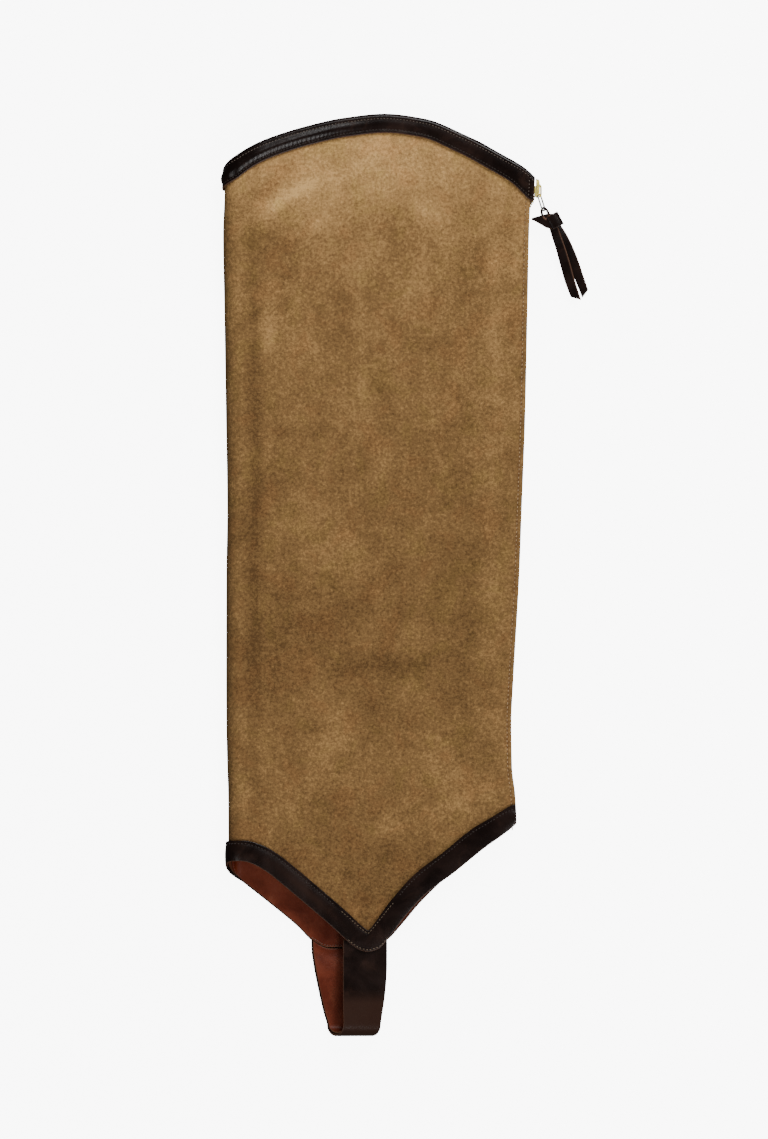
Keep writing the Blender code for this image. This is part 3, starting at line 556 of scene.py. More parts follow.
# %% The suede leg's wall
LEG_ROWS = 150
leg_from_hem = close_at_ends(leg_high - leg_low, LEG_ROWS)
leg_height = leg_low + leg_from_hem
leg_length = (leg_high - leg_low)[None, :]
from_ends = np.minimum(leg_from_hem, leg_length - leg_from_hem)
from_zip = np.minimum(leg_s, 3 - leg_s)[None, :] * LAYER_WIDTH
from_rim = np.minimum(from_ends, from_zip)
leg_half = half_wall(from_rim, SUEDE, 0.35)
leg_relief = suede_relief(leg_s[None, :], leg_height)
leg_uv = np.stack([girth_of(leg_s[None, :], leg_height), leg_height], axis=-1)
print("rows and columns of the suede:", leg_height.shape)

# %% The nap's tones, with painted light and shade
# Light and dark places of the nap, and painted shade and light: across, height, half width, half length, turn, tone.
NAP_AND_SHADE_MARKS = [
    (0.19, 464, 17, 3.6, 0.45, 1.45), (0.12, 455, 8, 3.6, 0.50, 0.85), (0.20, 474, 9, 2.4, 0.60, 0.50),
    (0.27, 446, 12, 3.5, 0.40, 0.40), (0.63, 456, 12, 4.5, -0.35, 0.50), (0.46, 487, 19, 8.0, -0.20, 0.35),
    (0.10, 388, 8, 16.0, 0.25, 0.62),
    (0.42, 400, 2.2, 55.0, 0.02, 0.32), (0.24, 332, 16, 4.0, 0.10, -0.40), (0.86, 310, 9, 14.0, 0.1, 0.42),
    (0.16, 215, 9, 52.0, 0.03, -0.46), (0.49, 203, 30, 5.0, 0.05, -0.55), (0.80, 128, 9, 8.0, -0.2, 0.60),
    (0.52, 115, 8, 5.0, 0.1, 0.40), (0.54, 102, 10, 6.0, 0.0, -0.50), (0.44, 78, 6, 5.0, 0.2, -0.55),
    (0.30, 128, 16, 10.0, 0.3, -0.30), (0.60, 170, 16, 12.0, 0.0, -0.34), (0.34, 160, 10, 7.0, 0.3, 0.30),
    (0.72, 230, 18, 9.0, -0.3, -0.34), (0.55, 290, 20, 12.0, 0.2, -0.24), (0.30, 262, 13, 10.0, 0.5, 0.22),
    # Long strips beside the zip (across 0.885, 0.90) are partly nap, partly painted light; the one at 0.05 is painted
    # fold shade.
    (0.66, 345, 17, 10.0, 0.1, 0.20), (0.30, 365, 14, 9.0, 0.2, -0.22), (0.885, 400, 7, 60.0, 0.0, 0.46),
    (0.90, 250, 6, 60.0, 0.0, 0.34), (0.05, 300, 4.5, 190.0, 0.0, -0.80), (0.50, 440, 16, 9.0, 0.1, -0.16),
    (0.51, 130, 22, 14.0, 0.0, -0.35), (0.12, 432, 13, 14.0, 0.0, -0.60),
    (0.78, 470, 10, 9.0, -0.5, -0.30), (0.86, 442, 12, 6.0, 0.3, 0.25), (0.23, 182, 14, 9.0, 0.2, 0.24),
]
# Lightness up the leg: partly the nap's own tone, partly painted light and shade.
TONE_AND_LIGHT_UP_THE_LEG = {
    "height": [40, 90, 130, 175, 215, 260, 320, 390, 440, 475, 510],
    "tone": [-1.05, -0.80, -0.26, -0.42, -0.60, -0.50, -0.34, -0.22, 0.18, 0.92, 1.05],
}


def nap_and_shade_tone(s, height):
    """Nap tone with painted light and shade: a curve up the leg plus bell-shaped marks, turned and moved over on the
    lower layer.
    """
    flat, share, lower = flat_width(height), across_share(s), s > 1.5
    tone = smooth_curve(TONE_AND_LIGHT_UP_THE_LEG["height"], TONE_AND_LIGHT_UP_THE_LEG["tone"], height)
    for across, up, half_width, half_length, turn, strength in NAP_AND_SHADE_MARKS:
        x = (share - np.where(lower, 0.97 - across, across)) * flat
        y = height - np.where(lower, 560 - up, up)
        u = (x * np.cos(turn) + y * np.sin(turn)) / half_width
        v = (y * np.cos(turn) - x * np.sin(turn)) / half_length
        tone = tone + strength * np.exp(-(u**2) - v**2)
    return tone


suede_leg = wall(
    "suede_leg",
    on_wrap(leg_s[None, :], leg_height, leg_half + leg_relief),
    on_wrap(leg_s[None, :], leg_height, -leg_half + leg_relief),
    leg_uv,
    rim=np.exp(-from_rim / 0.5),
    tone=nap_and_shade_tone(leg_s[None, :], leg_height),
    # Darker within a few mm of the top and hem ends, and in a thin line along each zip seam.
    stain=np.maximum(1 - ease(1.6, 4.5, from_ends), 0.55 * bell(from_zip - ZIP_STITCH_INSET, 0.45)),
)
print("suede leg:", cells_in(suede_leg), "cells")

# %% [markdown]
# ## The top band
# A dark strip 22 mm wide is folded over the leg's top edge and sewn through: down the outside, round the edge and a
# little way down the inside. Two rows of stitches pull its front face into a soft roll, and small puckers sit along
# the lower row. We could bevel a curve along the edge, but a curve's profile can't lie on two layers that bend
# different ways. So the strip's own cross-section, a U, is laid on the suede's surface column by column.

# %% Top band
TOP_BAND_INSIDE = 8.0
TOP_STITCH_PITCH = 1.8
TOP_LOWER_ROW = 2.0
TOP_UPPER_ROW = 1.0
END_ROW = 3.0
BAND_OVERHANG = 0.0115  # the part of a layer's width by which the band passes the zip edge
STITCH_GROOVE_HALF = 0.42
# How far the front rolls out in mm: at least, what is added near the fold, and the girths over which that fades.
ROLL_LEAST, ROLL_ADDED, ROLL_FADE = 0.20, 0.78, (35.0, 92.0)
FLANGE, GROOVE, PUCKER, END_RISE, END_GROOVE = 0.22, 0.10, 0.12, 0.30, 0.16
PUCKER_MIDDLE, PUCKER_SPREAD = 38.0, 22.0
top_off = SUEDE / 2 + GAP + TOP_BINDING / 2


def band_section(foot_drop, inside):
    """The middle line of the U, as height over its crown and distance out: up from the foot, round and down inside."""
    outside = np.linspace(0, 1, 13)[:, None]
    half_turn = np.linspace(0, pi, 11)[1:-1, None]
    inner = np.linspace(0, 1, 7)[:, None]
    radius = top_off - TOP_BINDING / 2 + 0 * foot_drop
    up = np.concatenate([-(1 - outside) * foot_drop, radius * np.sin(half_turn), -inner * inside])
    out = np.concatenate([top_off + 0 * outside, top_off * np.cos(half_turn), -top_off + 0 * inner])
    return up, out + 0 * up


def band_normals(up, out):
    """The direction across the U's wall, from steps along its middle line, turned a quarter."""
    d_up, d_out = np.gradient(up, axis=0), np.gradient(out, axis=0)
    length = np.hypot(d_up, d_out)
    return -d_out / length, d_up / length


top_s = columns_round(-BAND_OVERHANG, 3 + BAND_OVERHANG, 330, 30, 120, tips=False)
top_edge = line_height(TOP_LINE, top_s, TOP_START)
top_foot = band_line_height(TOP_LINE, top_s, TOP_START, TOP_BAND_WIDTH, -1)
top_crown = top_edge - top_off
near_zip_share = np.minimum(top_s, 3 - top_s)
top_inside = 0.4 + (TOP_BAND_INSIDE - 0.4) * ease(0.10, 0.17, near_zip_share)
top_up, top_out = band_section((top_crown - top_foot)[None, :], top_inside[None, :])
normal_up, normal_out = band_normals(top_up, top_out)
top_girth = girth_of(top_s, TOP_START)[None, :]
step_lengths = np.hypot(np.diff(top_up, axis=0), np.diff(top_out, axis=0))
top_way = np.concatenate([0 * top_up[:1], np.cumsum(step_lengths, axis=0)])
from_end = (near_zip_share + BAND_OVERHANG)[None, :] * LAYER_WIDTH
from_rim = np.minimum(np.minimum(top_way, top_way[-1:] - top_way), from_end)
front_width = (top_crown - top_foot)[None, :]
between_rows = (top_way - TOP_LOWER_ROW) / (front_width - TOP_UPPER_ROW - TOP_LOWER_ROW)
arch = np.sin(pi * np.clip(between_rows, 0, 1) ** 1.08) ** 1.5
full = ROLL_LEAST + ROLL_ADDED * (1 - ease(*ROLL_FADE, top_girth))
full = full * ease(1.0, 9.0, np.abs(from_end - END_ROW) + 1.0)
end_roll = END_RISE * np.sin(pi * np.clip(from_end / END_ROW, 0, 1)) - END_GROOVE * bell(from_end - END_ROW, 0.45)
flange = np.cos(0.5 * pi * np.clip(top_way / TOP_LOWER_ROW, 0, 1)) ** 0.8
near_rows = np.minimum(np.abs(top_way - TOP_LOWER_ROW), np.abs(top_way - front_width + TOP_UPPER_ROW))
stitch_groove = bell(near_rows, STITCH_GROOVE_HALF)
puckers = np.sin(2 * pi * top_girth / (1.25 * TOP_STITCH_PITCH) + 1.6 * np.sin(top_girth / 5.0) + 0.5 * top_way)
pucker_fade = bell(top_way - TOP_LOWER_ROW - 1.0, 1.2) * (0.25 + bell(top_girth - PUCKER_MIDDLE, PUCKER_SPREAD))
roll = full * arch + FLANGE * flange - GROOVE * stitch_groove + PUCKER * puckers * pucker_fade
roll = roll + end_roll * ease(0.0, 1.0, top_way) * (1 - ease(front_width - 0.5, front_width + 0.5, top_way))
top_half = half_wall(from_rim, TOP_BINDING, 0.3)


def top_face(side):
    """The U moved half its wall to one side, its front face rolled and puckered, and laid on the suede."""
    move = side * top_half + roll * (1.0 if side > 0 else 0.0)
    return on_wrap(top_s[None, :], top_crown[None, :] + top_up + normal_up * move, top_out + normal_out * move)


top_uv = np.stack([top_girth + 0 * top_way, top_way], axis=-1)
top_outer = top_face(1.0)
top_strip = wall("top_strip", top_outer, top_face(-1.0), top_uv, rim=np.exp(-from_rim / 0.4), tone=0.0)
print("top strip:", cells_in(top_strip), "cells; length in mm:", round(float(np.ptp(top_girth)), 1))

# %% [markdown]
# ## The hem band and the facing
# The hem comes down to a point at the middle of both layers. A dark strip lies on its outside, with the free edge at
# the hem line, and a red-brown facing lies inside, where the open hem shows it at the lower left. A strip of equal
# width round a pointed outline is what a disc sweeps when it rolls along the line, so its upper edge comes to a sharp
# V while its foot stays round. Offsetting each point sideways would fold the strip over itself at that V.

# %% Hem band
HEM_ROLL_LINE = {
    # the hem line with its two steep ends straightened, for the band's upper edge
    "girth": [-166] + HEM_LINE["girth"][2:-4] + [144, 153, 163],
    "height": [119.0] + HEM_LINE["height"][2:-4] + [103.6, 108.8, 115.0],
}
HEM_STITCH_INSET = 1.7
HEM_STITCH_PITCH = 1.9
HEM_WIDER, HEM_WIDER_REACH = 1.3, (75.0, 110.0)
HEM_ROLL, HEM_GROOVE, HEM_WAVE = 0.42, 0.15, 0.05
hem_s = columns_round(0.0, 3.0, 104, 30, 84)
hem_low = line_height(HEM_LINE, hem_s, HEM_START)
hem_high = band_line_height(HEM_ROLL_LINE, hem_s, HEM_START, HEM_BAND_WIDTH, 1)
hem_start_girth = girth_of(hem_s, HEM_START)
hem_high = hem_high + HEM_WIDER * ease(*HEM_WIDER_REACH, np.abs(hem_start_girth))
hem_slope = np.hypot(1, np.gradient(hem_low, hem_start_girth))
hem_rise = hem_high - hem_low
hem_way = close_at_ends(hem_rise, 13)
hem_height = hem_low + hem_way
from_rim = np.minimum(hem_way, hem_rise - hem_way) / hem_slope
from_rim = np.minimum(from_rim, np.minimum(hem_s, 3 - hem_s)[None, :] * LAYER_WIDTH)
hem_half = half_wall(from_rim, HEM_BANDING, 0.32)
hem_off = SUEDE / 2 + GAP + HEM_BANDING / 2
hem_girth = girth_of(hem_s[None, :], hem_height)
hem_down = (hem_rise - hem_way) / hem_slope
hem_width = (hem_rise / hem_slope)[None, :]
hem_arch = np.sin(pi * np.clip((hem_down - HEM_STITCH_INSET) / (hem_width - HEM_STITCH_INSET), 0, 1)) ** 0.8
hem_groove = bell(hem_down - HEM_STITCH_INSET, STITCH_GROOVE_HALF)
hem_waves = HEM_WAVE * np.sin(hem_girth / 3.1) * np.sin(hem_girth / 7.7 + 1.0) * hem_arch
hem_roll = HEM_ROLL * hem_arch - HEM_GROOVE * hem_groove + hem_waves
hem_outer = on_wrap(hem_s[None, :], hem_height, hem_off + hem_half + hem_roll)
hem_strip = wall(
    "hem_strip",
    hem_outer,
    on_wrap(hem_s[None, :], hem_height, hem_off - hem_half),
    np.stack([hem_girth, hem_way / hem_slope], axis=-1),
    rim=np.exp(-from_rim / 0.4) * ease(-8.0, 8.0, hem_girth) * (hem_way / hem_rise < 0.5),
    # A painted sheen mid-band on the hem's left branch, mixed towards the leather's worn colour.
    tone=0.7 * bell(hem_girth - 46.0, 17.0) * bell(hem_down - 6.0, 2.2),
)
hem_middle = (hem_low + hem_high) / 2
hem_length = np.hypot(np.diff(girth_of(hem_s, hem_middle)), np.diff(hem_middle)).sum()
print("hem strip:", cells_in(hem_strip), "cells; length in mm:", round(float(hem_length), 1))

# %% Facing inside the hem
FACING_WIDTH = 26.0
FACING_SETBACK = 0.9
FACING_TIP_CUT = 49.0
FACING_END = 0.12
facing_s = columns_round(FACING_END, 3 - FACING_END, 84, 30, 66)
facing_low = cut_at_tips(line_height(HEM_LINE, facing_s, HEM_START) + FACING_SETBACK, facing_s, FACING_TIP_CUT)
facing_high = band_line_height(HEM_LINE, facing_s, HEM_START, FACING_WIDTH, 1)
facing_rise = facing_high - facing_low
facing_way = close_at_ends(facing_rise, 20)
facing_height = facing_low + facing_way
from_rim = np.minimum(facing_way, facing_rise - facing_way)
facing_half = half_wall(from_rim, FACING, 0.25)
facing_off = -(SUEDE / 2 + GAP + FACING / 2)
facing_girth = girth_of(facing_s[None, :], facing_height)
facing_bend = 0.05 * np.sin(facing_girth / 4.3 + 0.2 * facing_height) * ease(0.0, 6.0, from_rim)
facing_strip = wall(
    "facing_strip",
    on_wrap(facing_s[None, :], facing_height, facing_off + facing_half + facing_bend),
    on_wrap(facing_s[None, :], facing_height, facing_off - facing_half + facing_bend),
    np.stack([facing_girth, facing_height], axis=-1),
    rim=np.exp(-from_rim / 0.4) * ease(3.0, 14.0, np.abs(facing_girth)),
    tone=0.0,
)
print("facing strip:", cells_in(facing_strip), "cells")

# %% [markdown]
# ## The stirrup strap
# The strap is two plies sewn back to back, dark outside and red-brown inside. It runs from under the upper tip of the
# hem, round where the boot's waist would be, and back under the lower tip. Its middle line is a smooth curve through
# a few stations, and the cross-section is carried along it. A curve object with a flat bevel would do the same, but
# its two plies would need two curves that stay parallel, which an offset along the strap's own normal gives at once.

# %% Strap stations
STRAP_OUTER = 1.2
STRAP_LINING = 1.0
STRAP_LINING_END = 48.6
STRAP_UPPER = [
    # across, height, up, width, rise across
    (78.6, 53.4, 9.63, 24.2, -1.0), (78.6, 47.0, 9.63, 24.2, -1.0), (78.6, 40.0, 9.9, 24.2, -0.8),
    (78.4, 31.0, 10.7, 23.9, -0.4), (78.0, 22.0, 11.7, 23.0, -0.1), (77.4, 13.0, 12.6, 21.6, 0.0),
]
STRAP_LOWER = [
    (66.6, 13.0, 0.6, 21.8, 0.0), (64.8, 23.0, 0.6, 22.8, 0.0), (63.0, 34.0, 0.7, 23.8, 0.0),
    (62.0, 41.0, 1.3, 24.2, 0.0), (61.2, 47.0, 2.1, 24.2, 0.0), (61.0, 53.4, 2.1, 24.2, 0.0),
]
BEND_RADIUS, BEND_HEIGHT, BEND_ACROSS, BEND_LEAN, BEND_WIDTH = 6.2, 6.8, 72.4, 4.6, 20.6
bend_turn = np.linspace(0, pi, 9)
bend_across = BEND_ACROSS + BEND_LEAN * np.cos(bend_turn)
bend_height = BEND_HEIGHT - BEND_RADIUS * np.sin(bend_turn)
bend_up = STRAP_OUTER / 2 + BEND_RADIUS * (1 + np.cos(bend_turn))
bend_rest = np.tile([BEND_WIDTH, 0.0], (len(bend_turn), 1))
strap_bend = np.column_stack([bend_across, bend_height, bend_up, bend_rest])
strap_stations = np.concatenate([STRAP_UPPER, strap_bend, STRAP_LOWER])


def resample(stations, count):
    """The stations' columns read at even steps of the way along their first three, each by smooth_curve."""
    way = way_along(stations[:, :3])
    at = np.linspace(0, way[-1], count)
    return np.stack([smooth_curve(way, stations[:, k], at) for k in range(stations.shape[1])], axis=-1), at


strap_line, strap_way = resample(strap_stations, 150)
print("strap length in mm:", round(float(strap_way[-1]), 1))


# %% Ribbons along a line
def ribbon(name, middle, side, thickness, inward=0.0, count=9, ripple=0.0, pale=(1.0, 1.0), tone=0.0, ways=None,
           longer=None, edge=0.4):
    """A flat strip with soft rims: at each point of its middle line a half width, and out = along x half width."""
    along = unit(np.gradient(middle, axis=0))
    out = unit(np.cross(along, side))
    way = way_along(middle)
    ways = way if ways is None else ways
    width = np.interp(ways, way, 2 * np.linalg.norm(side, axis=-1))
    across = close_at_ends(width, count)
    share = 1 - 2 * across / width
    at = ways[None, :] + 0 * across if longer is None else ways[None, :] + longer(share, ways)
    from_rim = np.minimum(across, width - across)
    from_rim = np.minimum(from_rim, np.minimum(ways - ways[0], ways[-1] - ways)[None, :])
    half = half_wall(from_rim, thickness, 0.3)
    waves = ripple * np.sin(at / 2.7) * np.sin(at / 6.1 + 2 * share)

    def read(values):
        return np.stack([np.interp(at, way, values[:, k]) for k in range(3)], axis=-1)

    grid = read(middle - out * inward) + share[..., None] * read(side)
    outer = grid + read(out) * (half + waves)[..., None]
    inner = grid - read(out) * (half - waves)[..., None]
    rim = np.where(share > 0, pale[0], pale[1]) * np.exp(-from_rim / edge)
    return wall(name, outer, inner, np.stack([across, at], axis=-1), rim=rim, tone=tone)


strap_side = np.stack([strap_line[:, 3] / 2, 0 * strap_way, strap_line[:, 4] / 2], axis=-1)
bend_wear = 1.5 * ease(26.0, 38.0, strap_way) * (1 - ease(52.0, 62.0, strap_way))
strap_dark = ribbon(
    "strap_dark", strap_line[:, :3], strap_side, STRAP_OUTER, ripple=0.03, pale=(0.3, 1.0), tone=bend_wear
)
strap_inward = STRAP_OUTER / 2 + GAP + STRAP_LINING / 2
lined = np.flatnonzero(strap_line[:, 1] < STRAP_LINING_END)
lining_ways = strap_way[lined]
print("the lining runs along the strap, in mm, from and to:", lining_ways[[0, -1]].round(1))
LINING_FOOT_ACROSS, LINING_FOOT_HALF, LINING_FOOT_HEIGHT = 61.2, 12.1, 50.0
LINING_STRETCH, LINING_OVERLAP = 14.0, 0.15
LINING_SHIFT, LINING_WIDTH_SHARE = 0.35, 0.945


def up_to_the_facing(share, ways):
    """The lower end reaches up to the facing's edge, which is a curve: the last 14 mm are lengthened by column."""
    across = LINING_FOOT_ACROSS + LINING_FOOT_HALF * share
    girth = -(across - fold_shoulder(LINING_FOOT_HEIGHT)) - FOLD_HALF_GIRTH
    edge = np.maximum(on_line(HEM_LINE, girth) + FACING_SETBACK, FACING_TIP_CUT)
    return (edge + LINING_OVERLAP - STRAP_LINING_END) * ease(ways[-1] - LINING_STRETCH, ways[-1], ways)[None, :]


lining_middle = strap_line[:, :3] + np.array([LINING_SHIFT, 0.0, 0.0])
strap_russet = ribbon(
    "strap_russet", lining_middle, strap_side * LINING_WIDTH_SHARE, STRAP_LINING, strap_inward, ripple=0.03,
    ways=lining_ways, longer=up_to_the_facing,
)
print("strap plies:", cells_in(strap_dark), cells_in(strap_russet), "cells")

# %% [markdown]
# ## The zip
# The zip stands on edge between the two layers, so from above only its slider shows, and from the side its teeth do.
# Each half is a woven tape sewn inside one layer's edge, which turns towards the other half and carries a row of
# brass teeth. A tooth is a small rounded block, and whole rows are made by moving one block's points to every place
# on the zip's line at once. An Array modifier on a curve would do it too, but it spaces them less exactly.

# %% Zip line and tapes
CHAIN_SETBACK = 1.7
CHAIN_HEAD = 462.5
CHAIN_FOOT = 137.0
CHAIN_BEND = 3.2
TAPE_FOOT, TAPE_HEAD = 131.5, 466.0
TAPE_SETBACK = 1.5
TAPE_WIDTH = 13.0
TAPE_DROP, TAPE_CLEAR, TAPE_TO_TEETH = 1.5, 2.35, 2.0
TAPE_COLUMNS, TAPE_MIDDLE_COLUMN = 170, 80


def zip_middle(height):
    """Half-way up between the two layers at the zip."""
    return (wrap_point(0.0, height)[..., 2] + wrap_point(3.0, height)[..., 2]) / 2


def chain_across(height):
    """The chain's middle: just inside the zip edges, then bent out to the slider at its head."""
    return zip_edge(height) - CHAIN_SETBACK + CHAIN_BEND * ease(CHAIN_HEAD - 10.5, CHAIN_HEAD - 1.0, height)


def zip_tape(name, side):
    """A tape flat under one layer, turned through a quarter ellipse at its edge, and straight to the teeth."""
    height = np.linspace(TAPE_FOOT, TAPE_HEAD, TAPE_COLUMNS)
    inset = TAPE_SETBACK + np.array([TAPE_WIDTH, 12.8, 12.5, 10.0, 7.5, 5.0, 3.1])[:, None]
    share = inset / flat_width(height)[None, :]
    lying = on_wrap(share if side > 0 else 3 - share, height[None, :], -(SUEDE / 2 + GAP + TAPE / 2))
    start, middle = lying[-1], zip_middle(height)
    turn = np.linspace(0, pi / 2, 7)[1:, None]
    drop = np.minimum(TAPE_DROP, np.abs(start[:, 2] - middle) - TAPE_CLEAR)
    x = start[:, 0] + (chain_across(height) - start[:, 0]) * np.sin(turn)
    turned = points_at(x, height, start[:, 2] - side * drop * (1 - np.cos(turn)))
    last = turned[-1:].copy()
    last[..., 2] = middle + side * TAPE_TO_TEETH
    grid = np.concatenate([lying, turned, last])[::side]
    normal = unit(np.cross(np.gradient(grid, axis=0), np.gradient(grid, axis=1)))
    way = way_along(grid[:, TAPE_MIDDLE_COLUMN])
    half = half_wall(np.minimum(way, way[-1] - way), TAPE, 0.2)[:, None, None]
    uv = np.stack(np.broadcast_arrays(way[:, None], height[None, :]), axis=-1)
    return wall(name, grid + normal * half, grid - normal * half, uv, rim=0.0, tone=0.0)


tape_front = zip_tape("tape_front", 1)
tape_back = zip_tape("tape_back", -1)
print("tapes:", cells_in(tape_front), "cells each")


# %% A rounded block
def block_points(cells, power):
    """A cube's six faces as grids, welded, each point divided by its power norm, which rounds edges and corners."""
    step = np.linspace(-1, 1, cells + 1)
    u, v = np.meshgrid(step, step, indexing="ij")
    one = np.ones_like(u)
    faces = [(u, v, one), (v, u, -one), (one, u, v), (-one, v, u), (v, one, u), (u, -one, v)]
    points = np.concatenate([np.stack(face, axis=-1).reshape(-1, 3) for face in faces])
    quads = np.concatenate([grid_cells(cells + 1, cells + 1, k * (cells + 1) ** 2) for k in range(6)])
    points, index = np.unique(points.round(6), axis=0, return_inverse=True)
    quads = index.reshape(-1)[quads]
    norm = (np.abs(points) ** power).sum(axis=1, keepdims=True) ** (1 / power)
    return points / norm, quads


def many_blocks(name, centres, axes, half, cells, power):
    """One block's points, scaled, turned onto each place's three axes and moved to its centre, all in one mesh."""
    points, quads = block_points(cells, power)
    size = np.broadcast_to(np.asarray(half, float), (len(centres), 3))
    placed = np.einsum("pk,nk,nkd->npd", points, size, axes) + centres[:, None]
    all_quads = quads[None] + (np.arange(len(centres)) * len(points))[:, None, None]
    return set_up_mesh(name, placed.reshape(-1, 3), all_quads.reshape(-1, 4), None, {})


check_points, check_quads = block_points(3, 4.0)
a, b, c = (check_points[check_quads[:, k]] for k in (0, 1, 2))
print("a block's faces point out:", bool((np.einsum("ij,ij->i", np.cross(b - a, c - b), b) > 0).all()))

# %% Zip teeth and stop
TOOTH_PITCH = 2.6
TOOTH_HALF = (0.95, 0.62, 1.7)
TOOTH_OFF_MIDDLE = 1.1
STOP_HEIGHT, STOP_HALF = 134.5, (1.2, 2.1, 2.6)


def chain_axes(height):
    """At each height on the chain: out of its face, along it, and up, as three unit vectors."""
    slope = (chain_across(height + 0.1) - chain_across(height - 0.1)) / 0.2
    rise = (zip_middle(height + 0.1) - zip_middle(height - 0.1)) / 0.2
    along = unit(np.stack([slope, np.ones_like(slope), rise], axis=-1))
    face = unit(np.cross(along, np.broadcast_to([0.0, 0.0, 1.0], along.shape)))
    return np.stack([face, along, np.cross(face, along)], axis=1)


tooth_height = np.arange(CHAIN_FOOT + 0.8, CHAIN_HEAD - 0.5, TOOTH_PITCH / 2)
tooth_side = np.where(np.arange(len(tooth_height)) % 2 == 0, 1.0, -1.0)
tooth_up = zip_middle(tooth_height) + TOOTH_OFF_MIDDLE * tooth_side
tooth_centre = points_at(chain_across(tooth_height), tooth_height, tooth_up)
zip_teeth = many_blocks("zip_teeth", tooth_centre, chain_axes(tooth_height), TOOTH_HALF, 4, 3.4)
stop_height = np.array([STOP_HEIGHT])
stop_centre = points_at(chain_across(stop_height), stop_height, zip_middle(stop_height))
stop_block = many_blocks("stop_block", stop_centre, chain_axes(stop_height), STOP_HALF, 8, 6.0)
print("teeth:", len(tooth_height), "cells:", cells_in(zip_teeth))

# %% [markdown]
# ## The slider and its pull
# The slider is a brass body at the zip's head with a small bow on its face. A wire link runs through the bow, and a
# dark thong is knotted through the link, with two tails that hang past the zip. The slider and link are hard, so
# they follow their solids closely, with rounder edges. The thong is one strip of leather, so its loop, knot and tails
# are strips too, laid along lines in space.

# %% Slider
SLIDER_FOOT, SLIDER_LENGTH, SLIDER_HALF_WIDTH = 460.8, 10.6, 3.7
PLATE, PLATE_FACE, PLATE_BETWEEN = 0.9, 173.4, 2.7
slider_up = float(zip_middle(SLIDER_FOOT + SLIDER_LENGTH / 2))


def slider_plate(name, face, foot, length):
    """A rounded block, 0.9 mm thick, with its four corners pulled in, as a cast plate has."""
    points, quads = block_points(14, 9.0)
    thick, u, w = points.T
    x = face - PLATE / 2 + thick * PLATE / 2
    y = foot + length / 2 * (1 + u * (1 - 0.22 * np.abs(w) ** 4))
    z = slider_up + w * SLIDER_HALF_WIDTH * (1 - 0.10 * np.abs(u) ** 3)
    return set_up_mesh(name, points_at(x, y, z), quads, None, {})


slider_face = slider_plate("slider_face", PLATE_FACE, SLIDER_FOOT, SLIDER_LENGTH)
slider_back = slider_plate("slider_back", PLATE_FACE - PLATE - PLATE_BETWEEN, SLIDER_FOOT, 7.4)
SLIDER_BLOCKS = [
    # name, across, height, ups from the slider's middle, half sizes, cells to a side, power of the rounding
    ("slider_wedge", PLATE_FACE - PLATE - PLATE_BETWEEN / 2, 465.35, [0], (PLATE_BETWEEN / 2 + 0.3, 2.05, 1.3), 8, 5.0),
    ("slider_crown", PLATE_FACE + 0.35, 466.3, [0], (0.85, 4.7, 1.25), 10, 3.2),
    ("slider_rails", PLATE_FACE - PLATE - 0.35, 464.2, [-3.05, 3.05], (0.55, 2.9, 0.38), 6, 4.0),
]
slider_blocks = []
for block_name, across, height, ups, half, cells, power in SLIDER_BLOCKS:
    centres = points_at(across, height, slider_up + np.array(ups))
    straight = np.repeat(np.eye(3)[None], len(ups), axis=0)
    slider_blocks.append(many_blocks(block_name, centres, straight, half, cells, power))
slider_wedge, slider_crown, slider_rails = slider_blocks
print("slider:", cells_in(slider_face, slider_back, slider_wedge, slider_crown, slider_rails), "cells")

# %% Bail and link
BAIL_FOOT, BAIL_LENGTH, BAIL_RISE, BAIL_WIRE = 461.5, 6.4, 1.85, 0.5
bail_turn = np.linspace(0, pi, 40)
bail_shape = np.abs(np.sin(bail_turn)) ** 0.34
bail_x = PLATE_FACE - 0.3 + (BAIL_RISE + 0.3) * bail_shape
bail_y = BAIL_FOOT + BAIL_LENGTH / 2 * (1 - np.sign(np.cos(bail_turn)) * np.abs(np.cos(bail_turn)) ** 0.5)
slider_bail = tube("slider_bail", points_at(bail_x, bail_y, slider_up), BAIL_WIRE)

LINK_AIM, LINK_ROLL, LINK_WIRE = np.radians(-72.5), np.radians(15.0), 0.45
LINK_LENGTH, LINK_END, LINK_HALF = 9.4, 1.8, 3.2
LINK_ACROSS, LINK_HEIGHT = 174.08, 462.75
link_up = float(zip_middle(LINK_HEIGHT))
link_place = np.array([LINK_ACROSS, LINK_HEIGHT, link_up])
link_along = np.array([np.cos(LINK_AIM), np.sin(LINK_AIM), 0.0])
half_turn = np.linspace(-pi, 0, 28)
near_along, near_rise = LINK_END * (1 + np.sin(half_turn)), LINK_HALF * np.cos(half_turn)
ring_along = np.concatenate([near_along, LINK_LENGTH - near_along])
ring_rise = np.concatenate([near_rise, -near_rise])
link_side = np.cross(link_along, (0.0, 0.0, 1.0))
link_rise = np.cos(LINK_ROLL) * np.array([0.0, 0.0, 1.0]) + np.sin(LINK_ROLL) * link_side
link_path = link_place + ring_along[:, None] * link_along + ring_rise[:, None] * link_rise
link_ring = tube("link_ring", link_path, LINK_WIRE, closed=True)
print("bail and link:", cells_in(slider_bail), cells_in(link_ring), "cells")

